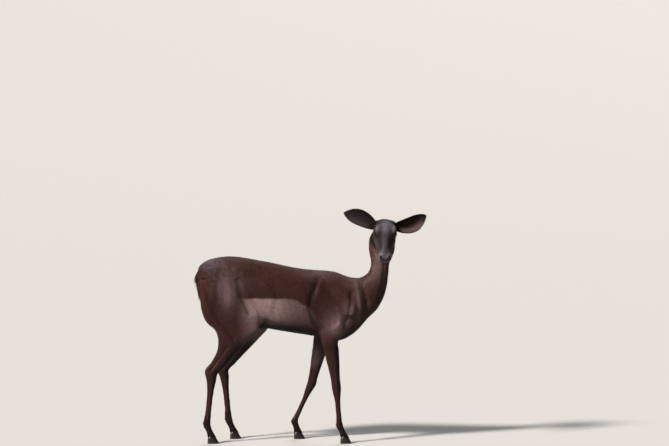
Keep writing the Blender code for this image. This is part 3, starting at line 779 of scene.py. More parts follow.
def fused_skin(step):
    """The whole body as one closed mesh, softened as the solids are, and shrunk by the coat."""
    skin = joined("skin", flesh_pieces())
    remesh = skin.modifiers.new("fuse", "REMESH")
    remesh.mode = "VOXEL"
    remesh.voxel_size = step
    applied(skin)
    # The square of the reach grows by half a step's square with each round
    rounds = round(2 * (SOFTEN_REACH / step) ** 2)
    relax(skin.data, soften_weight(in_body(points_of(skin.data))[:, 2]), rounds)
    push_out(skin.data, -COAT_DEPTH)
    return skin


def model_body(mesh):
    """Muscles, hollows, ribs and tendons of the trunk, neck and legs."""
    body, sideways = in_body(points_of(mesh)), normals_of(mesh)[:, 1]
    x, y, z = body.T
    outer_side = ramp(sideways * np.sign(y), 0.1, 0.5)
    out = touched(body, BODY_TOUCHES) + leg_valleys(body)
    for table, sign in ((BODY_VALLEYS, 1), (BODY_RIDGES, -1)):
        rows = [([(px, 0, pz) for px, pz in path], width, depth) for path, width, depth in table]
        out += sign * carved(body * (1, 0, 1), rows) * outer_side
    ribs = ramp(x, -0.19, -0.15) * ramp(x, 0.02, -0.02) * ramp(z, 0.56, 0.62) * ramp(z, 0.80, 0.74)
    out += RIB_DEPTH * ribs * np.sin((x + 0.25 * z) * 2 * math.pi / RIB_SPACING)
    push_out(mesh, out)


def model_head(mesh):
    """Brow, cheek, jaw and bridge of the nose, and the room for the eyeballs."""
    head = in_head(points_of(mesh))
    near = ramp(np.linalg.norm(head - (HEAD_MIDDLE, 0, 0), axis=1), 0.20, 0.16)
    push_out(mesh, near * touched(head, HEAD_TOUCHES))
    head = in_head(points_of(mesh))
    radius, lid_width = EYE_RADIUS / HEAD_SCALE, 0.004
    for sign in (1, -1):
        centre = np.array(eye_frame(sign)[0])
        distance, past = around_eye(head, sign)
        room = radius - 0.0030 + 0.0040 * ramp(past * radius, 0.0, lid_width)
        inside = (past * radius < lid_width) & (distance > room) & (distance < 2 * radius)
        shrink = np.where(inside, room / distance, 1.0)
        head = centre + (head - centre) * shrink[:, None]
    put_points(mesh, moved(head, Matrix.Translation(MIDLINE) @ head_matrix()))


def unite(skin, solids):
    """Make further solids part of the skin. All are closed, as this solver needs."""
    for number, bm in enumerate(solids):
        solid = joined(f"addition_{number}", [bm])
        union = skin.modifiers.new("union", "BOOLEAN")
        union.operation = "UNION"
        union.solver = "MANIFOLD"
        union.object = solid
        applied(skin)
        bpy.data.objects.remove(solid)


def knit(mesh):
    """Smooth the skin where lids and ears grow out of it."""
    head = in_head(points_of(mesh))
    weight = np.zeros(len(head))
    for side, sign in SIDES:
        distance, past = around_eye(head, sign)
        lids = ramp(past * EYE_RADIUS, 0.0045, 0.009) * ramp(distance, 0.034, 0.026)
        root = np.array(EARS[side][0])
        way = head_matrix().to_3x3().inverted() @ Vector(EARS[side][1])
        along = (head - root) @ np.array(way.normalized())
        ear = ramp(along, 0.045, 0.025) * ramp(np.linalg.norm(head - root, axis=1), 0.055, 0.045)
        weight = np.maximum(weight, np.maximum(lids, 0.8 * ear * ramp(along, -0.01, 0.01)))
    relax(mesh, weight, rounds=10)


def model_muzzle(mesh):
    """Nostrils, mouth and the cleft of the lip."""
    head = in_head(points_of(mesh))
    push_out(mesh, carved(head, MUZZLE_VALLEYS) * ramp(head[:, 0], 0.150, 0.165))
    relax(mesh, 0.5 * ramp(head[:, 0], 0.196, 0.206), rounds=2)


def near_muzzle(mesh):
    """Each point's place along the head, and whether it is near the muzzle."""
    head, muzzle, reach = in_head(points_of(mesh)), (0.22, 0, 0), 0.060
    return head[:, 0], np.linalg.norm(head - muzzle, axis=1) < reach


def build_skin(step):
    """The finished form of the skin. Head and feet get a mesh twice as fine as the trunk, and
    the muzzle one twice as fine again."""
    skin = fused_skin(step)
    mesh = skin.data
    model_body(mesh)
    body = in_body(points_of(mesh))
    refine(mesh, (on_head(body) > 0.01) | (body[:, 2] < 0.33))
    body = in_body(points_of(mesh))
    muzzle = ramp(near_muzzle(mesh)[0], 0.19, 0.21)
    relax(mesh, np.maximum(on_head(body), 0.5 * ramp(body[:, 2], 0.35, 0.32)), rounds=2)
    relax(mesh, ramp(on_head(body), 0.3, 1.0) * (1 - 0.8 * muzzle), rounds=22)
    model_head(mesh)
    along, near = near_muzzle(mesh)
    refine(mesh, near & (along > 0.190))
    along, near = near_muzzle(mesh)
    relax(mesh, near * ramp(along, 0.19, 0.20), rounds=1)
    unite(skin, [lid_solid(1), lid_solid(-1), ear_solid("right"), ear_solid("left")])
    knit(skin.data)
    model_muzzle(skin.data)
    skin.data.shade_smooth()
    return skin


# ---------------------------------------------------------------- colour and lie of the coat
# Patches of colour on the body, then on the head in its own frame, many of them painted highlights
# and some painted shade: colour, centre, radii and strength, on both sides.
COAT_PATCHES = [
    # Painted highlight: blue-grey sheen, a painted reflection of a blue sky, on top of the
    # hindquarters
    ("blue_sky_sheen", (-0.500, 0.035, 0.885), (0.055, 0.060, 0.030), 0.75),
    # Painted highlight: pale grey sheen on the top of the hindquarters
    ("grey_sheen_and_lining", (-0.400, 0.095, 0.800), (0.060, 0.050, 0.050), 0.50),
    ("nape", (0.290, 0.000, 0.930), (0.030, 0.060, 0.110), 0.70),
    ("rump", (-0.530, 0.060, 0.740), (0.045, 0.060, 0.110), 0.80),
    # Darker at the back of the thigh: partly the coat's dark edge, partly a painted cast shadow
    ("leg", (-0.465, 0.090, 0.670), (0.030, 0.060, 0.045), 0.55),
    # Painted highlights on the hip, the withers, the lower shoulder, the point of the shoulder and
    # the base of the neck
    ("grey_sheen_and_lining", (-0.390, 0.105, 0.735), (0.024, 0.040, 0.050), 0.80),
    ("grey_sheen_and_lining", (0.050, 0.020, 0.835), (0.060, 0.050, 0.022), 0.60),
    ("grey_sheen_and_lining", (0.135, 0.100, 0.590), (0.040, 0.050, 0.040), 0.80),
    ("pale_flank_and_sheen", (0.142, 0.100, 0.575), (0.020, 0.050, 0.022), 0.35),
    ("pale_flank_and_sheen", (0.198, 0.070, 0.655), (0.018, 0.050, 0.030), 0.45),
    ("pale_flank_and_sheen", (0.242, 0.055, 0.700), (0.011, 0.030, 0.070), 0.60),
    ("grey_sheen_and_lining", (0.235, 0.050, 0.790), (0.040, 0.040, 0.030), 0.50),
    ("leg", (0.020, 0.100, 0.690), (0.022, 0.050, 0.060), 0.55),
    ("neck", (0.290, 0.040, 0.740), (0.060, 0.050, 0.100), 0.60),
    # Painted light: a sunlit patch on the upper forearm, and a painted highlight on the neck below
    # the head
    ("pale_flank_and_sheen", (0.028, 0.050, 0.420), (0.022, 0.040, 0.032), 0.60),
    ("pale_flank_and_sheen", (0.330, 0.050, 0.885), (0.024, 0.030, 0.055), 0.75),
]
HEAD_PATCHES = [
    # Painted highlights: blue-grey sheen, a painted reflection of a blue sky, on the brow and the
    # bridge of the nose
    ("blue_sky_sheen", (0.086, 0.000, 0.055), (0.026, 0.015, 0.026), 1.00),
    ("blue_sky_sheen", (0.170, 0.000, 0.035), (0.040, 0.009, 0.016), 0.36),
    ("leg", (0.030, 0.000, 0.040), (0.022, 0.040, 0.020), 0.80),
    ("leg", (0.100, 0.046, 0.020), (0.028, 0.014, 0.020), 0.90),
    ("leg", (0.135, 0.026, 0.020), (0.036, 0.007, 0.012), 0.70),
    # Painted light: paler grey on both cheeks, where the key lamp falls
    ("grey_sheen_and_lining", (0.145, 0.040, -0.004), (0.036, 0.013, 0.020), 0.45),
    # Pale brows, partly the coat's own and partly a painted highlight on the rim of each orbit
    ("muzzle", (0.090, 0.037, 0.042), (0.012, 0.006, 0.008), 0.85),
    ("muzzle", (0.214, 0.018, -0.006), (0.016, 0.020, 0.016), 0.95),
    ("muzzle", (0.226, 0.012, -0.026), (0.014, 0.022, 0.006), 1.00),
]
ZONES = ("right_side", "left_side", "neck", "head", "fore_legs", "hind_legs", "ears", "tail",
         "ear_linings", "heel_glands", "lashes")


def linear(code):
    """The linear value of an sRGB colour given as hex."""
    shares = [int(code[k:k + 2], 16) / 255 for k in (1, 3, 5)]
    return tuple(c / 12.92 if c <= 0.04045 else ((c + 0.055) / 1.055) ** 2.4 for c in shares)


def blended(values, other, share):
    """Rows turned into other ones by each row's share."""
    return values * (1 - share[:, None]) + np.array(other) * share[:, None]


def within(at, **bounds):
    """1 where each named measure is past the second of its bounds, 0 where one is short of its
    first, and smooth between."""
    share = 1.0
    for measure, (start, full) in bounds.items():
        share = share * ramp(getattr(at, measure), start, full)
    return share


def ear_survey(body, normals, side, sign):
    """Every point as one ear sees it: its share, place along and across, side and lining."""
    shares, arcs = np.linspace(0.04, 1.0, 49), np.linspace(-1, 1, 25)
    spots = [(ear_point(side, s, a), s, a) for s in shares for a in arcs]
    tree = KDTree(len(spots))
    for index, (spot, _, _) in enumerate(spots):
        tree.insert(spot, index)
    tree.balance()
    found, margin = np.full((len(body), 3), (1.0, 0.0, 0.0)), 0.006
    low = np.min([spot for spot, _, _ in spots], axis=0) - margin
    high = np.max([spot for spot, _, _ in spots], axis=0) + margin
    for k in np.flatnonzero(((body > low) & (body < high)).all(axis=1)):
        _, index, distance = tree.find(body[k])
        found[k] = (distance, spots[index][1], spots[index][2])
    distance, along, across = found.T
    share = ramp(distance, 0.0055, 0.0035) * ramp(along, 0.10, 0.22)
    inward = normals @ np.array(Vector(EARS[side][2]).normalized()) > 0
    rim = np.maximum(ramp(across, 0.35, 0.60), ramp(-across, 0.84, 0.97))
    return SimpleNamespace(
        side=side, sign=sign, share=share, on=share > 0.3, along=along, across=across,
        inward=inward, lining=share * inward * (1 - rim),
    )


def survey(mesh):
    """Every point of the skin: its places in the body's and the head's frames, the ways that
    the skin faces there, and its shares of face, neck, legs and ears."""
    body, head, normals = in_body(points_of(mesh)), in_head(points_of(mesh)), normals_of(mesh)
    x, y, z = body.T
    face = on_head(body)
    return SimpleNamespace(
        x=x, y=y, z=z, off_middle=np.abs(y), body=body, head=head, along_head=head[:, 0],
        off_nose=np.abs(head[:, 1]), above_nose=head[:, 2], normals=normals,
        ahead=normals[:, 0], aside=np.abs(normals[:, 1]), upward=normals[:, 2],
        face=face, neck=ramp(z, 0.78, 0.86) * (1 - face), leg=ramp(z, 0.54, 0.44),
        ears=[ear_survey(body, normals, side, sign) for side, sign in SIDES],
    )


def coat_lie(at):
    """Which way the hair lies: back along the trunk, down the rump, chest, neck and legs, up
    the face and out along the ears, with slight swirls."""
    nose_to_nape = np.array(head_matrix().to_3x3() @ Vector((-1, 0, 0)))
    lie = np.tile((-1.0, 0.0, -0.32), (len(at.x), 1))
    for share, way in (
        (within(at, x=(-0.42, -0.52)), (-0.25, 0.0, -1.0)),
        (within(at, x=(0.20, 0.30), z=(0.86, 0.80)), (-0.20, 0.0, -1.0)),
        (at.neck, (-0.20, 0.0, -1.0)), (at.leg, (-0.08, 0.0, -1.0)), (at.face, nose_to_nape),
    ):
        lie = blended(lie, way, share)
    swirl = 0.16 * np.sin(31 * at.x + 17 * at.z) * np.sin(23 * at.z - 19 * at.y + 1.3)
    lie = unit(lie + np.cross(at.normals, lie) * swirl[:, None])
    for ear in at.ears:
        lie = blended(lie, Vector(EARS[ear.side][1]).normalized(), ear.share)
    return lie


def coat_lengths(at):
    """How long the hair is: longest on back and neck and over the hooves' upper edge."""
    length = 0.0125 - 0.0020 * within(at, z=(0.60, 0.52)) + 0.0015 * at.neck
    length = length * (1 - at.leg) + 0.0072 * at.leg
    length += 0.0095 * within(at, z=(0.058, 0.046)) - 0.0020 * within(at, z=(0.30, 0.10))
    on_face = 0.0062 - 0.0024 * within(at, along_head=(0.12, 0.22))
    length = length * (1 - at.face) + on_face * at.face
    for ear in at.ears:
        length = length * (1 - ear.share) + (0.0065 - 0.0015 * ear.along) * ear.share
    return length


def bare_skin(at):
    """Shares of the bare nose, and of the darker nostrils, lips and lid edges."""
    nose = within(
        at, along_head=(0.2255, 0.2305), off_nose=(0.0175, 0.0145), above_nose=(-0.0175, -0.0150)
    )
    nostril = from_path(folded(at.head), MUZZLE_VALLEYS[1][0])
    lips = ramp(-carved(at.head, MUZZLE_VALLEYS[:1]), 0.0010, 0.0026)
    dark = np.maximum(ramp(nostril, 0.0082, 0.0058), lips)
    for _, sign in SIDES:
        distance, past = around_eye(at.head, sign)
        rim = ramp(past * EYE_RADIUS, 0.0032, 0.0020) * ramp(distance, 0.026, 0.022)
        dark = np.maximum(dark, rim)
    return nose * at.face, dark * at.face


def coat_tint(at, colours, nose, dark):
    """The colour at every point: layers of colour by name, each laid over the last, among them
    painted highlights and painted shade.
    """
    # A paler band low on each side, partly the coat's own paler tone and partly a painted sheen
    # where the lying hair catches the light. It ends above in an edge that is crisp on the right
    # side, and dips in front
    edge = 0.712 - 0.030 * within(at, x=(-0.09, -0.01)) - 0.09 * within(at, x=(-0.02, 0.07))
    edge += 0.0015 * np.sin(90 * at.x)
    crisp = np.where(at.y < 0, 0.0045, 0.022)
    pale_flank_and_sheen = ramp(at.z, edge + crisp, edge - crisp)
    pale_flank_and_sheen *= within(at, x=(0.070, -0.01)) * within(at, x=(-0.36, -0.26))
    pale_flank_and_sheen *= (1 - 0.50 * within(at, z=(0.66, 0.57))) * (1 - 0.66 * within(at, x=(-0.22, -0.04)))
    # Painted shade: the front of the neck, which faces away from the key lamp, is painted nearly
    # black
    throat_shade = within(at, ahead=(0.30, 0.62), z=(0.54, 0.62), x=(0.20, 0.30))
    # Darker where the underside faces down: partly the coat's own dark, partly painted shade
    dark_underside_and_shade = within(at, upward=(-0.35, -0.80), z=(0.70, 0.60))
    # A dark line beside the tail runs down and out over the back of each thigh
    stripe = np.abs(at.off_middle - 0.052 - 0.10 * (0.80 - at.z)) < 0.004
    stripe = stripe * within(at, ahead=(-0.55, -0.75), z=(0.62, 0.66))
    # Painted light: the red-brown of sunlit hair is laid on the legs' rear and outer sides, which
    # face the key lamp, and their fronts stay nearly black as painted shade
    lit = within(at, ahead=(0.35, -0.10), z=(0.06, 0.16))
    dock = within(at, off_middle=(0.024, 0.017), x=(-0.526, -0.538), z=(0.870, 0.835))
    layers = [
        ("pale_flank_and_sheen", pale_flank_and_sheen), ("neck", at.neck), ("leg", 0.95 * throat_shade), ("leg", 0.7 * stripe),
        ("leg", np.maximum(at.leg, dark_underside_and_shade)), ("lit_shank", 0.85 * at.leg * lit), ("leg", 0.85 * dock),
        ("face", at.face),
    ]
    for points, patches, share in ((at.body, COAT_PATCHES, 1 - at.face),
                                   (at.head, HEAD_PATCHES, at.face)):
        for name, centre, radii, strength in patches:
            layers.append((name, strength * share * bump(folded(points), centre, radii)))
    for ear in at.ears:
        streak = 0.5 + 0.5 * np.cos(ear.across * 3.2 * math.pi + 0.9)
        low = within(ear, across=(-0.15, -0.40), along=(0.10, 0.30)) * 0.70
        low = low * within(ear, along=(0.88, 0.70))
        # The right ear's darker lining here is painted shade
        lining = EAR_LINING_LIGHT[ear.side] * ear.lining
        layers += [
            ("ear_back", ear.share), ("ear_inner", lining * (0.25 + 0.75 * streak)),
            ("grey_sheen_and_lining", lining * low), ("leg", ear.share * within(ear, along=(0.82, 0.98))),
        ]
    tint = np.tile(colours["back"], (len(at.x), 1))
    for name, share in [*layers, ("nose", nose), ("bare", dark)]:
        tint = blended(tint, colours[name], share)
    return tint


def coat_zones(at):
    """The number of the piece of coat that covers each point."""
    gland_height, gland_reach = 0.122, 0.020
    leg = np.where(at.x > -0.19, ZONES.index("fore_legs"), ZONES.index("hind_legs"))
    zone = np.where(at.y < 0, ZONES.index("right_side"), ZONES.index("left_side"))
    zone = np.where(at.leg > 0.5, leg, zone)
    back_of_heel = (np.abs(at.z - gland_height) < gland_reach) & (at.ahead < -0.35)
    tail = (at.off_middle < 0.022) & (at.x < -0.536) & (at.z < 0.845) & (at.z > 0.68)
    tail &= at.aside + np.maximum(-at.ahead, 0) > 0.2
    places = [
        ("heel_glands", (zone == ZONES.index("hind_legs")) & back_of_heel),
        ("neck", at.neck + at.face > 0.5), ("head", at.face > 0.5), ("tail", tail),
    ]
    for ear in at.ears:
        inside = ear.on & ear.inward & (ear.along < 0.85)
        places += [("ears", ear.on), ("ear_linings", inside)]
    for name, where in places:
        zone[where] = ZONES.index(name)
    return zone


def around(second, first):
    """Share of a turn about an axis."""
    return np.arctan2(second, first) / (2 * math.pi) + 0.5


def coat_unwrap(at, zone):
    """Place on the unwrap, 0 to 1: round each part of the body and along it."""
    x, y, z = at.x, at.y, at.z
    spots = np.stack([x + 0.60, (around(at.off_middle, z - 0.70) - 0.5) * 2, 0 * x], axis=1)

    def put(where, first, second):
        spots[where, 0] = first[where]
        spots[where, 1] = second[where]

    nose, side, top = at.head.T
    put(zone == ZONES.index("neck"), around(y, x - 0.33), (z - 0.60) / 0.50)
    put(zone == ZONES.index("head"), (nose + 0.03) / 0.28, around(side, top + 0.01))
    put(zone == ZONES.index("tail"), around(y, x + 0.54), (z - 0.65) * 4)
    for (_, joints, _), names in zip(LIMBS, (["fore_legs"], ["hind_legs", "heel_glands"])):
        on_leg = np.isin(zone, [ZONES.index(name) for name in names])
        for side, sign in SIDES:
            heights, places = zip(*sorted((jz, jx) for jx, jz in joints[side]))
            turn = around(y - sign * HALF_STANCE, x - np.interp(z, heights, places))
            half = 0.0 if sign < 0 else 0.5
            put(on_leg & (y * sign > 0), 0.5 * turn + half, z / 0.58)
    for ear in at.ears:
        put(ear.on, (ear.along + ear.sign + 1) / 3, (ear.across + 2.2 * ear.inward + 1) / 4.2)
    return np.clip(spots, 0.0, 0.996)


def new_attribute(mesh, name, values):
    """Give every point of the mesh a named value: a number, a vector or a colour."""
    values = np.ascontiguousarray(values, dtype=np.float32)
    kinds = {1: ("FLOAT", "value"), 3: ("FLOAT_VECTOR", "vector"), 4: ("FLOAT_COLOR", "color")}
    kind, field = kinds[1 if values.ndim == 1 else values.shape[1]]
    mesh.attributes.new(name, kind, "POINT").data.foreach_set(field, values.ravel())


def give_coat(mesh, zones, bare, tint, **fields):
    """Give a mesh all that the coat reads. Zones are numbers, one for each face."""
    new_attribute(mesh, "coat_share", 1 - ramp(bare, 0.2, 0.7))
    new_attribute(mesh, "bare", bare)
    new_attribute(mesh, "tint", np.hstack([tint, np.ones((len(tint), 1))]))
    for name, values in fields.items():
        new_attribute(mesh, name, values)
    made = mesh.attributes.new("coat_zone", "INT", "FACE")
    made.data.foreach_set("value", np.ascontiguousarray(zones, dtype=np.int32))


def colour_skin(mesh, colours):
    """Lie, length, colour, zone and unwrap of the coat all over the skin."""
    at = survey(mesh)
    nose, dark = bare_skin(at)
    zone = coat_zones(at)
    first = np.array([face.vertices[0] for face in mesh.polygons])
    give_coat(
        mesh, zone[first], np.maximum(nose, dark), coat_tint(at, colours, nose, dark),
        lie=coat_lie(at), coat_length=coat_lengths(at), unwrap=coat_unwrap(at, zone),
    )


# ---------------------------------------------------------------- nodes
def wire(node, *values, **named):
    """Set a node's inputs to values, or link them to other nodes' sockets. They are given in
    the node's order, or by name in lower case with underscores."""
    sockets = [socket for socket in node.inputs if socket.enabled]
    by_name = {}
    for socket in sockets:
        by_name.setdefault(socket.name.lower().replace(" ", "_"), socket)
    pairs = [*zip(sockets, values), *((by_name[name], value) for name, value in named.items())]
    for socket, value in pairs:
        if isinstance(value, bpy.types.NodeSocket):
            node.id_data.links.new(value, socket)
        else:
            socket.default_value = value


def add_node(tree, kind, *values, out=None, **details):
    """Add a node and give back an output: the one named, or the first. The values go into its
    inputs in order, and each detail is one of its own settings or an input's name."""
    node = tree.nodes.new(kind)
    own = set(node.bl_rna.properties.keys()) - set(bpy.types.Node.bl_rna.properties.keys())
    for name in [name for name in details if name in own]:
        setattr(node, name, details.pop(name))
    wire(node, *values, **details)
    return node.outputs[out] if out else next((s for s in node.outputs if s.enabled), None)


def coat_tree():
    """Geometry Nodes that set tapered tufts on one zone of the skin, along the lie. A tuft is a
    cone of three sides, one unit long, that points along +X, with its root sunk in the skin."""
    sunk, flatness, roll = 0.04, 0.55, 0.4
    tree = bpy.data.node_groups.new("lay_coat", "GeometryNodeTree")
    for name, kind in (
        ("Geometry", "Geometry"), ("Zone", "Int"), ("Tufts per square metre", "Float"),
        ("Length", "Float"), ("Width share", "Float"), ("Lift", "Float"), ("Stray", "Float"),
        ("Droop", "Float"), ("Joints", "Int"), ("Seed", "Int"), ("Material", "Material"),
    ):
        tree.interface.new_socket(name, in_out="INPUT", socket_type=f"NodeSocket{kind}")
    tree.interface.new_socket("Geometry", in_out="OUTPUT", socket_type="NodeSocketGeometry")
    node = partial(add_node, tree)
    given = node("NodeGroupInput").node.outputs
    stored = {
        name: node("GeometryNodeInputNamedAttribute", name=name, data_type=kind)
        for name, kind in (
            ("coat_zone", "INT"), ("coat_share", "FLOAT"), ("coat_length", "FLOAT"),
            ("lie", "FLOAT_VECTOR"), ("patch", "FLOAT_VECTOR"), ("unwrap", "FLOAT_VECTOR"),
        )
    }

    # Roots, more where more skin is covered
    chosen = node(
        "FunctionNodeCompare", stored["coat_zone"], given["Zone"], data_type="INT",
        operation="EQUAL",
    )
    density = node(
        "ShaderNodeMath", given["Tufts per square metre"], stored["coat_share"],
        operation="MULTIPLY",
    )
    roots = node(
        "GeometryNodeDistributePointsOnFaces", given["Geometry"], chosen, density=density,
        seed=given["Seed"], out="Points",
    )

    # Laid along the lie, then lifted and turned a little at random
    laid = node(
        "FunctionNodeAxesToRotation", roots.node.outputs["Normal"], stored["lie"],
        primary_axis="Z", secondary_axis="X",
    )
    least, most, astray = (
        node("ShaderNodeMath", given[name], share, operation="MULTIPLY")
        for name, share in (("Lift", -1.65), ("Lift", -0.35), ("Stray", -1.0))
    )
    sway = node(
        "FunctionNodeRandomValue", node("ShaderNodeCombineXYZ", -roll, least, astray),
        node("ShaderNodeCombineXYZ", roll, most, given["Stray"]), data_type="FLOAT_VECTOR",
        seed=11,
    )
    turned = node(
        "FunctionNodeRotateRotation", laid, node("FunctionNodeEulerToRotation", sway),
        rotation_space="LOCAL",
    )
    uneven = node("FunctionNodeRandomValue", 0.70, 1.25, data_type="FLOAT", seed=12)
    hair = stored["coat_length"]
    for factor in (given["Length"], uneven):
        hair = node("ShaderNodeMath", hair, factor, operation="MULTIPLY")
    width = node("ShaderNodeMath", hair, given["Width share"], operation="MULTIPLY")
    depth = node("ShaderNodeMath", width, flatness, operation="MULTIPLY")

    # The tuft itself, which may droop, and where each of its points is on its own patch
    tuft = node(
        "GeometryNodeMeshCone", vertices=3, side_segments=given["Joints"], radius_top=0.0,
        radius_bottom=0.5, depth=1.0,
    )
    lying = node(
        "GeometryNodeTransform", tuft, translation=(-sunk, 0.0, 0.0),
        rotation=(0.0, math.pi / 2, 0.0),
    )
    along, across, _ = node(
        "ShaderNodeSeparateXYZ", node("GeometryNodeInputPosition")
    ).node.outputs
    reach = node("ShaderNodeMath", along, operation="ABSOLUTE")
    squared = node("ShaderNodeMath", reach, 2.0, operation="POWER")
    droop = node("ShaderNodeMath", squared, given["Droop"], operation="MULTIPLY")
    fall = node("ShaderNodeMath", droop, -1.0, operation="MULTIPLY")
    bent = node(
        "GeometryNodeSetPosition", lying, offset=node("ShaderNodeCombineXYZ", 0.0, 0.0, fall)
    )
    beside = node("ShaderNodeMath", across, 0.5, operation="ADD")
    patched = node(
        "GeometryNodeStoreNamedAttribute", bent, name="patch", data_type="FLOAT_VECTOR",
        value=node("ShaderNodeCombineXYZ", along, beside, 0.0), domain="POINT",
    )
    set_out = node(
        "GeometryNodeInstanceOnPoints", roots, instance=patched, rotation=turned,
        scale=node("ShaderNodeCombineXYZ", hair, width, depth),
    )
    tone = node("FunctionNodeRandomValue", 0.0, 1.0, data_type="FLOAT", seed=13)
    toned = node(
        "GeometryNodeStoreNamedAttribute", set_out, name="tone", value=tone,
        data_type="FLOAT", domain="INSTANCE",
    )
    real = node("GeometryNodeRealizeInstances", toned)

    # The unwrap: a small patch for each tuft at its root's place
    spot = node("ShaderNodeVectorMath", stored["patch"], scale=PATCH_SIZE, operation="SCALE")
    on_unwrap = node("ShaderNodeVectorMath", spot, stored["unwrap"], operation="ADD")
    last = node(
        "GeometryNodeStoreNamedAttribute", real, name="OFBake", value=on_unwrap,
        data_type="FLOAT2", domain="CORNER",
    )
    for name in ("patch", "unwrap", "coat_length", "coat_share", "coat_zone", "bare"):
        last = node("GeometryNodeRemoveAttribute", last, name=name)
    last = node("GeometryNodeSetShadeSmooth", last)
    last = node("GeometryNodeSetMaterial", last, material=given["Material"])
    node("NodeGroupOutput", last)
    return tree


def keep(piece, slot, *nodes):
    """Attach a finished piece to the root and hide the solids that it stands for."""
    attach(piece, "root")
    if nodes:
        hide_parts(*nodes)


def lay_coat(name, zone, slot, finish, density, seed, length=1.0, width=0.15, lift=0.09,
             stray=0.16, droop=0.0, joints=1, ground="skin"):
    """A piece of coat over one zone of the skin, or of another ground, as a plain mesh. Density
    is in tufts for each square metre, length a multiple of the skin's own, and width a share of
    it. Lift and stray are in radians."""
    tree = bpy.data.node_groups.get("lay_coat") or coat_tree()
    piece = new_object(name, bpy.data.objects[ground].data.copy())
    piece.data.materials.clear()
    piece.data.materials.append(finish)
    layer = piece.modifiers.new("coat", "NODES")
    layer.node_group = tree
    values = {
        "Zone": ZONES.index(zone), "Tufts per square metre": density, "Length": length,
        "Width share": width, "Lift": lift, "Stray": stray, "Droop": droop, "Joints": joints,
        "Seed": seed, "Material": finish,
    }
    for item in tree.interface.items_tree:
        if item.in_out == "INPUT" and item.name in values:
            layer[item.identifier] = values[item.name]
    keep(applied(piece), slot)


# ---------------------------------------------------------------- finishes
COAT_GLOSS = 0.15
KERATIN_IOR = 1.55


def new_material(name, roughness, ior=1.5, gloss=0.5):
    """A material, a function that adds nodes to it, and its shader."""
    made = bpy.data.materials.new(name)
    made.use_nodes = True
    shader = made.node_tree.nodes["Principled BSDF"]
    wire(shader, roughness=roughness, ior=ior, specular_ior_level=gloss)
    return made, partial(add_node, made.node_tree), shader


def rgba(code):
    return (*linear(code), 1.0)


def along_lie(node, across, along):
    """Noise drawn out along the lie of the coat. Both sizes are in metres."""
    place = node("ShaderNodeTexCoord", out="Object")
    lie = node("ShaderNodeAttribute", attribute_name="lie", out="Vector")
    noises = []
    for axis in range(3):
        scale = [1 / across] * 3
        scale[axis] = 1 / along
        stretched = node("ShaderNodeMapping", place, scale=scale)
        noises.append(node("ShaderNodeTexNoise", stretched, scale=1.0, detail=2.0, roughness=0.6))
    weights = node("ShaderNodeVectorMath", lie, lie, operation="MULTIPLY")
    noises = node("ShaderNodeCombineXYZ", *noises)
    return node("ShaderNodeVectorMath", weights, noises, operation="DOT_PRODUCT")


def coat_on_skin():
    """Short black-brown antelope hair lying flat over the hide. Each hair is a smooth dark rod,
    so the coat shines softly along its lie. Single hairs are 0.08 mm across, too fine to show,
    so the streaks are drawn 0.9 mm across and 9 mm long."""
    made, node, shader = new_material("short_summer_coat", 0.5, KERATIN_IOR, COAT_GLOSS)
    streak = along_lie(node, across=0.0009, along=0.009)
    clump = along_lie(node, across=0.007, along=0.040)
    fine_shade = node("ShaderNodeMath", streak, 0.9, 0.30, operation="MULTIPLY_ADD")
    broad_shade = node("ShaderNodeMath", clump, 0.9, 0.55, operation="MULTIPLY_ADD")
    shade = node("ShaderNodeMath", fine_shade, broad_shade, operation="MULTIPLY")
    tint = node("ShaderNodeAttribute", attribute_name="tint", out="Color")
    colour = node("ShaderNodeVectorMath", tint, shade, operation="SCALE")

    # Bare skin is moister, with a leathery grain of 1.1 mm instead of streaks
    bare = node("ShaderNodeAttribute", attribute_name="bare", out="Fac")
    rough = node("ShaderNodeMath", clump, 0.20, 0.33, operation="MULTIPLY_ADD")
    rough = node("ShaderNodeMath", bare, -0.13, rough, operation="MULTIPLY_ADD")
    grain = node("ShaderNodeTexVoronoi", node("ShaderNodeTexCoord", out="Object"), scale=900.0)
    grain = node("ShaderNodeMath", grain, 0.35, operation="MULTIPLY")
    height = node("ShaderNodeMix", bare, streak, grain, data_type="FLOAT")
    fine = node("ShaderNodeBump", strength=0.55, distance=0.0008, height=height)
    broad = node("ShaderNodeBump", strength=0.35, distance=0.0030, height=clump, normal=fine)
    wire(shader, base_color=colour, roughness=rough, normal=broad)
    return made


def coat_in_tufts(name):
    """Tufts of the same hair, each a shade of its own."""
    made, node, shader = new_material(name, 0.44, KERATIN_IOR, COAT_GLOSS)
    tone = node("ShaderNodeAttribute", attribute_name="tone", out="Fac")
    shade = node("ShaderNodeMath", tone, 0.55, 0.72, operation="MULTIPLY_ADD")
    tint = node("ShaderNodeAttribute", attribute_name="tint", out="Color")
    wire(shader, base_color=node("ShaderNodeVectorMath", tint, shade, operation="SCALE"))
    return made


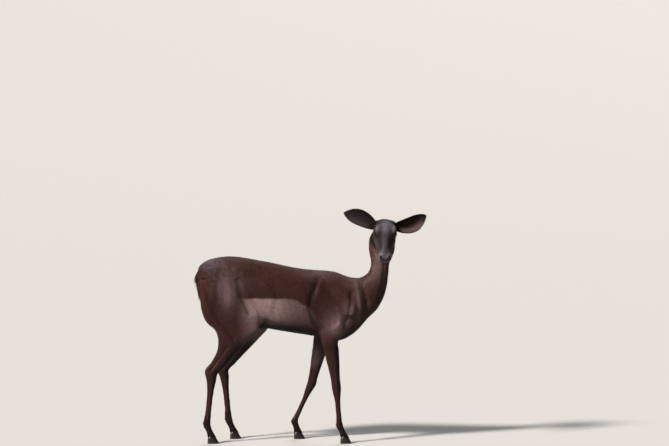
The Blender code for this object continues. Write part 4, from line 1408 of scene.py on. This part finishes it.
def eye_finish():
    """Cornea over a dark brown iris with a wide level pupil: wet, so it mirrors sharply. The
    iris's fibres are drawn 1.2 mm across, coarser than real ones."""
    made, node, shader = new_material("wet_cornea", 0.07, 1.38, gloss=0.28)
    gaze = node("ShaderNodeAttribute", attribute_name="gaze", out="Vector")
    level, up, _ = node("ShaderNodeSeparateXYZ", gaze).node.outputs
    fibres = node("ShaderNodeTexNoise", gaze, scale=14.0, detail=4.0)
    brown = node("ShaderNodeMix", fibres, rgba("#0E0604"), rgba("#221108"), data_type="RGBA")

    # Half width and height of pupil and iris as shares of the eye's radius, and their soft edges
    outlines = []
    for half_width, half_height, low, high in ((0.42, 0.24, 0.75, 1.15), (0.74, 0.74, 0.88, 1.05)):
        flat = node("ShaderNodeMath", level, half_width, operation="DIVIDE")
        tall = node("ShaderNodeMath", up, half_height, operation="DIVIDE")
        flat = node("ShaderNodeMath", flat, flat, operation="MULTIPLY")
        squares = node("ShaderNodeMath", tall, tall, flat, operation="MULTIPLY_ADD")
        outlines.append(
            node("ShaderNodeMapRange", squares, low, high, interpolation_type="SMOOTHSTEP")
        )
    iris = node("ShaderNodeMix", outlines[0], rgba("#050405"), brown, data_type="RGBA")
    whole = node("ShaderNodeMix", outlines[1], iris, rgba("#120B09"), data_type="RGBA")
    wire(shader, base_color=whole)
    return made


def horn_finish():
    """Hoof horn: dense black keratin, faintly ringed as it grows, dusty where it meets sand.
    The rings are about 2.4 mm apart, and the fibres 0.7 mm across, drawn coarser to show."""
    made, node, shader = new_material("hoof_horn", 0.42, 1.54, gloss=0.30)
    place = node("ShaderNodeTexCoord", out="Object")
    rings, grain = (
        node(
            "ShaderNodeTexNoise", node("ShaderNodeMapping", place, scale=scale), scale=1.0,
            detail=2.0,
        )
        for scale in ((60, 60, 420), (1400, 1400, 90))
    )
    horn = node("ShaderNodeMix", rings, rgba("#0C0A0A"), rgba("#241D1D"), data_type="RGBA")
    height = node("ShaderNodeSeparateXYZ", place, out="Z")
    dusty = node("ShaderNodeMapRange", height, 0.008, 0.0, 0.0, 0.25)
    horn = node("ShaderNodeMix", dusty, horn, rgba("#5A4A40"), data_type="RGBA")
    rough = node("ShaderNodeMath", rings, 0.25, 0.30, operation="MULTIPLY_ADD")
    ridged = node("ShaderNodeBump", strength=0.35, distance=0.0004, height=rings)
    ridged = node("ShaderNodeBump", strength=0.2, distance=0.0002, height=grain, normal=ridged)
    wire(shader, base_color=horn, roughness=rough, normal=ridged)
    return made


def paper_finish(colour):
    """Seamless studio paper: matt, with the faint tooth of uncoated stock, drawn 1.4 mm coarse
    so that it shows."""
    made, node, shader = new_material("studio_paper", 0.85)
    place = node("ShaderNodeTexCoord", out="Object")
    tooth = node("ShaderNodeTexNoise", place, scale=700.0, detail=2.0)
    shade = node("ShaderNodeMath", tooth, 0.04, 0.98, operation="MULTIPLY_ADD")
    wire(shader, base_color=node("ShaderNodeVectorMath", colour, shade, operation="SCALE"))
    return made


# ---------------------------------------------------------------- eyes and hooves
def build_eye(side, sign, finish):
    """An eyeball with its cornea, and where each point lies in the animal's gaze."""
    cornea_height, cornea_angle = 0.0009, 27
    centre, outward, forward, upward = eye_frame(sign)
    turn = head_matrix().to_3x3() * (1 / HEAD_SCALE)
    middle = np.array(head_matrix() @ centre + MIDLINE)
    eye = joined(f"eyeball_{side}", [ellipsoid((0, 0, 0), (1.0, 1.0, 1.0))])
    sphere = unit(in_body(points_of(eye.data)))
    ways = np.array([turn @ forward, turn @ upward, turn @ outward])
    gaze = sphere @ ways.T
    angle = np.degrees(np.arccos(np.clip(gaze[:, 2], -1, 1)))
    reach = EYE_RADIUS + cornea_height * np.exp(-((angle / cornea_angle) ** 2))
    put_points(eye.data, middle + sphere * reach[:, None])
    new_attribute(eye.data, "gaze", gaze)
    eye.data.materials.append(finish)
    eye.data.shade_smooth()
    keep(eye, "eye", f"eye_{side}")


def build_lashes(finish):
    """Lashes along both upper lids, laid on a hidden ribbon of faces at the lid's edge."""
    steps, start, sweep, length = 40, 8, 164, 0.008
    bm = bmesh.new()
    lies = []
    for _, sign in SIDES:
        outward = eye_frame(sign)[1]
        rows = []
        for step in range(steps + 1):
            turn = math.radians(start + sweep * step / steps)
            row = []
            for past in (0.4, 1.2):
                spot, way = lid_point(sign, turn, past / HEAD_SCALE, above=0.9)
                row.append(bm.verts.new(spot))
                lies.append(head_matrix().to_3x3() @ (outward + way * 0.45))
            rows.append(row)
        bridge(bm, rows, closed=False)
    ground = joined("lash_ground", [bm])
    count = len(ground.data.vertices)
    spots = np.stack([np.arange(count) / count, np.full(count, 0.5), np.zeros(count)], axis=1)
    give_coat(
        ground.data, np.full(len(ground.data.polygons), ZONES.index("lashes")),
        bare=np.zeros(count), tint=np.tile(linear("#0D0908"), (count, 1)),
        lie=np.array(lies), coat_length=np.full(count, length), unwrap=spots,
    )
    lay_coat("eyelashes", "lashes", "body_coat", finish, 900000, 41, width=0.06, lift=0.2,
             stray=0.15, droop=-0.25, joints=4, ground="lash_ground")
    bpy.data.objects.remove(ground)


def build_hoof(name, coronet, sign, inward, finish):
    """One claw: horn wall with growth rings, a narrow top under the hair and a worn lower edge."""
    egg, ring_spacing, ring_share, ahead = 0.35, 0.0042, 0.0035, 0.006
    rows = [
        (-back, 0, height, front, 0, height, 0, 1, 0, half, egg)
        for height, back, front, half in CLAW_ROWS
    ]
    place = Matrix.Translation((coronet, sign * HALF_STANCE + inward * CLAW_SPREAD, 0))
    place = place @ Matrix.Rotation(inward * CLAW_SPLAY, 4, "Z")
    hoof = joined(f"hoof_{name}", [loft(rows, count=44, sides=48, place=place)])
    points = points_of(hoof.data)
    middle = np.array(place.to_translation() + MIDLINE) + (ahead, 0, 0)
    z = points[:, 2]
    grow = 1 + ring_share * np.sin(z * 2 * math.pi / ring_spacing) * ramp(z, 0.002, 0.008)
    worn, narrowed = 0.055 * ramp(z, 0.0016, 0.0), 0.26 * ramp(z, 0.0220, 0.0358) ** 2
    grow *= 1 - worn - narrowed
    points[:, :2] = middle[:2] + (points[:, :2] - middle[:2]) * grow[:, None]
    put_points(hoof.data, points)
    hoof.data.materials.append(finish)
    hoof.data.shade_smooth()
    hoof.data.set_sharp_from_angle(angle=math.radians(50))
    keep(hoof, "hoof", f"claw_{name}")


# ---------------------------------------------------------------- the studio
def build_floor(finish):
    """A wide round paper floor that rises gently towards its rim, so that every side is lit."""
    flat, reach, steepest, steps, sides = 10.0, 60.0, math.radians(16), 16, 96
    bend = (reach - flat) / math.sin(steepest)
    profile = [(flat * share, 0.0) for share in (0.2, 0.6, 1.0)]
    for step in range(1, steps + 1):
        angle = steepest * step / steps
        profile.append((flat + bend * math.sin(angle), bend * (1 - math.cos(angle))))
    turns = [2 * math.pi * k / sides for k in range(sides)]
    bm = bmesh.new()
    rings = [
        [bm.verts.new((radius * math.cos(t), radius * math.sin(t), height)) for t in turns]
        for radius, height in profile
    ]
    bm.faces.new(rings[0])
    bridge(bm, rings[::-1])
    mesh = bpy.data.meshes.new("studio_floor")
    bm.to_mesh(mesh)
    bm.free()
    floor = new_object("studio_floor", mesh)
    floor.data.materials.append(finish)
    floor.data.shade_smooth()


def build_light(name, way, strength, softness, colour):
    """A distant lamp that shines from the given way. Softness is its width in degrees."""
    lamp = bpy.data.lights.new(name, "SUN")
    lamp.angle = math.radians(softness)
    lamp.energy = strength
    lamp.color = colour
    obj = new_object(name, lamp)
    obj.location = Vector(way) * 5
    obj.rotation_euler = Vector(way).to_track_quat("Z", "Y").to_euler()


def build_camera():
    """A long lens far to the ewe's right, a little above her back."""
    target, distance, tilt = Vector((0.1225, MIDLINE.y, 1.0756)), 13.965, math.radians(3.87)
    lens = bpy.data.cameras.new("camera")
    lens.sensor_width = 36.0
    lens.lens = 153.36
    lens.clip_end = 200.0
    camera = new_object("camera", lens)
    back = Vector((0.0, -math.cos(tilt), math.sin(tilt)))
    camera.location = target + back * distance
    camera.rotation_euler = (-back).to_track_quat("-Z", "Y").to_euler()
    bpy.context.scene.camera = camera


# ---------------------------------------------------------------- the add-on
def colour_prop(name, code, about):
    return FloatVectorProperty(name=name, description=about, default=linear(code), size=3,
                               min=0.0, max=1.0, subtype="COLOR")


class ImpalaSizes(bpy.types.PropertyGroup):
    skin_step: FloatProperty(
        name="Skin step", description="Size of the skin's mesh on the trunk", default=0.0058,
        min=0.003, max=0.02, unit="LENGTH", subtype="DISTANCE")
    tufts: IntProperty(
        name="Tufts", description="Tufts in each square metre of the trunk", default=75000,
        min=1000, max=200000)
    lift: FloatProperty(
        name="Lift", description="How far the tufts stand off the skin", default=math.radians(8),
        min=0.0, max=0.5, unit="ROTATION", subtype="ANGLE")


class ImpalaColours(bpy.types.PropertyGroup):
    back: colour_prop("Back", "#371B16", "Coat of the back and ribs")
    # Pale grey: painted highlights on hindquarters, hip, withers, shoulder, neck base and cheeks,
    # and the real paler grey low in the ear linings
    grey_sheen_and_lining: colour_prop("Croup", "#6F595B", "Greyer coat of the croup, shoulder point and cheek")
    # Paler tone low on the sides, partly the coat's own and partly painted sheen; also painted
    # highlights on shoulder, neck and forearm
    pale_flank_and_sheen: colour_prop("Flank", "#8F7876", "Paler coat of the flank")
    neck: colour_prop("Neck", "#4F3128", "Coat of the neck")
    nape: colour_prop("Nape", "#5A2E24", "Reddish coat of the nape")
    rump: colour_prop("Rump", "#4C2A22", "Reddish coat behind the thighs")
    # This near-black is also laid as painted shade on the front of the neck, under the body and at
    # the back of the thigh
    leg: colour_prop("Legs", "#150A08", "Nearly black coat of throat, belly, feet and tail")
    # Red-brown of sunlit hair, painted only on the sides of the legs that face the key lamp:
    # painted light
    lit_shank: colour_prop("Shanks", "#3A1D16", "Red-brown coat behind the front edge of each leg")
    face: colour_prop("Face", "#181012", "Coat of the face")
    # Blue-grey painted reflection of a blue sky, laid as highlights on brow, nose and hindquarters
    blue_sky_sheen: colour_prop("Forehead", "#6E6772", "Blue-grey coat of forehead and nose")
    # Over the brows this pale grey is partly a painted highlight
    muzzle: colour_prop("Muzzle", "#756E70", "Coat round the nostrils and over the brows")
    ear_back: colour_prop("Ear backs", "#140D0B", "Coat of the ears' backs")
    ear_inner: colour_prop("Ear linings", "#45332F", "Hair inside the ears")
    nose: colour_prop("Nose", "#3C383A", "Bare skin between the nostrils")
    bare: colour_prop("Bare skin", "#080607", "Nostrils, lips and edges of the lids")
    paper: colour_prop("Paper", "#9C9995", "Studio paper")


def colours():
    """The chosen colours, as linear numbers by name."""
    chosen = bpy.context.scene.impala_colours
    return {name: tuple(getattr(chosen, name)) for name in ImpalaColours.__annotations__}


def tuft_material(name):
    return bpy.data.materials.get(name) or coat_in_tufts(name)


class IMPALA_OT_skin(bpy.types.Operator):
    """Build the one skin, with lids, ears, nostrils and mouth"""
    bl_idname = "impala.skin"
    bl_label = "Skin"

    def execute(self, context):
        skin = build_skin(context.scene.impala_sizes.skin_step)
        colour_skin(skin.data, colours())
        skin.data.materials.clear()
        skin.data.materials.append(coat_on_skin())
        flesh = [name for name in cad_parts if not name.startswith(("eye_", "claw_"))]
        keep(skin, "body_coat", *flesh)
        return {"FINISHED"}


class IMPALA_OT_eyes(bpy.types.Operator):
    """Build both eyeballs and the lashes"""
    bl_idname = "impala.eyes"
    bl_label = "Eyes"

    def execute(self, context):
        finish = eye_finish()
        for side, sign in SIDES:
            build_eye(side, sign, finish)
        build_lashes(tuft_material("short_summer_tufts"))
        return {"FINISHED"}


class IMPALA_OT_hooves(bpy.types.Operator):
    """Build the eight claws"""
    bl_idname = "impala.hooves"
    bl_label = "Hooves"

    def execute(self, context):
        finish = horn_finish()
        for limb_name, joints, _ in LIMBS:
            for side, sign in SIDES:
                coronet = joints[side][4][0]
                for claw, inward in (("inner", -sign), ("outer", sign)):
                    build_hoof(f"{limb_name}_{side}_{claw}", coronet, sign, inward, finish)
        return {"FINISHED"}


class IMPALA_OT_coat(bpy.types.Operator):
    """Lay the tufts of the coat over the skin"""
    bl_idname = "impala.coat"
    bl_label = "Coat"

    def execute(self, context):
        sizes = context.scene.impala_sizes
        finish = tuft_material("short_summer_tufts")
        for zone, crowd, seed in (
            ("right_side", 1.0, 1), ("left_side", 1.0, 2), ("neck", 1.5, 3), ("head", 7.0, 4),
            ("fore_legs", 2.6, 5), ("hind_legs", 2.2, 6), ("ears", 6.0, 7),
        ):
            slot = "ear_coat" if zone == "ears" else "body_coat"
            density = sizes.tufts * crowd
            lay_coat(f"coat_{zone}", zone, slot, finish, density, seed, lift=sizes.lift)
        lay_coat("coat_ear_linings", "ear_linings", "ear_coat", finish, 260000, 8, length=2.0,
                 width=0.07, lift=0.16, stray=0.5, droop=0.05, joints=2)
        lay_coat("coat_heel_glands", "heel_glands", "body_coat", finish, 300000, 9, length=3.0,
                 width=0.08, lift=0.14, stray=0.2, droop=-0.10, joints=3)
        return {"FINISHED"}


class IMPALA_OT_tail(bpy.types.Operator):
    """Lay the long locks of the tail"""
    bl_idname = "impala.tail"
    bl_label = "Tail"

    def execute(self, context):
        finish = tuft_material("long_tail_hair")
        lay_coat("tail_locks", "tail", "tail_hair", finish, 90000, 10, length=3.6, width=0.075,
                 lift=0.14, stray=0.14, droop=0.10, joints=4)
        return {"FINISHED"}


class IMPALA_OT_studio(bpy.types.Operator):
    """Set the floor, lights and camera"""
    bl_idname = "impala.studio"
    bl_label = "Studio"

    def execute(self, context):
        build_floor(paper_finish(colours()["paper"]))
        build_light("key", way=(-0.80, -0.50, 0.80), strength=8.6, softness=8.0,
                    colour=(1.0, 0.96, 0.91))
        build_light("rim", way=(0.10, 0.75, 0.85), strength=1.7, softness=24.0,
                    colour=(0.93, 0.96, 1.0))
        world = bpy.data.worlds.new("studio_air")
        world.use_nodes = True
        wire(world.node_tree.nodes["Background"], color=(0.90, 0.95, 1.0, 1.0), strength=0.12)
        context.scene.world = world
        context.scene.view_settings.view_transform = "Standard"
        build_camera()
        return {"FINISHED"}


class IMPALA_PT_panel(bpy.types.Panel):
    """Sizes, colours and pieces of the ewe"""
    bl_idname = "IMPALA_PT_panel"
    bl_label = "Impala ewe"
    bl_space_type = "VIEW_3D"
    bl_region_type = "UI"
    bl_category = "Impala"

    def draw(self, context):
        for group, kind in (("impala_sizes", ImpalaSizes), ("impala_colours", ImpalaColours)):
            box = self.layout.box()
            for name in kind.__annotations__:
                box.prop(getattr(context.scene, group), name)
        for operator in OPERATORS:
            self.layout.operator(operator.bl_idname)


OPERATORS = (
    IMPALA_OT_skin, IMPALA_OT_eyes, IMPALA_OT_hooves, IMPALA_OT_coat, IMPALA_OT_tail,
    IMPALA_OT_studio,
)
CLASSES = (ImpalaSizes, ImpalaColours, *OPERATORS, IMPALA_PT_panel)


def register():
    for kind in CLASSES:
        bpy.utils.register_class(kind)
    bpy.types.Scene.impala_sizes = PointerProperty(type=ImpalaSizes)
    bpy.types.Scene.impala_colours = PointerProperty(type=ImpalaColours)


def unregister():
    del bpy.types.Scene.impala_colours
    del bpy.types.Scene.impala_sizes
    for kind in reversed(CLASSES):
        bpy.utils.unregister_class(kind)


def main():
    register()
    bpy.ops.impala.skin()
    bpy.ops.impala.eyes()
    bpy.ops.impala.hooves()
    bpy.ops.impala.coat()
    bpy.ops.impala.tail()
    bpy.ops.impala.studio()


if __name__ == "__main__":
    main()
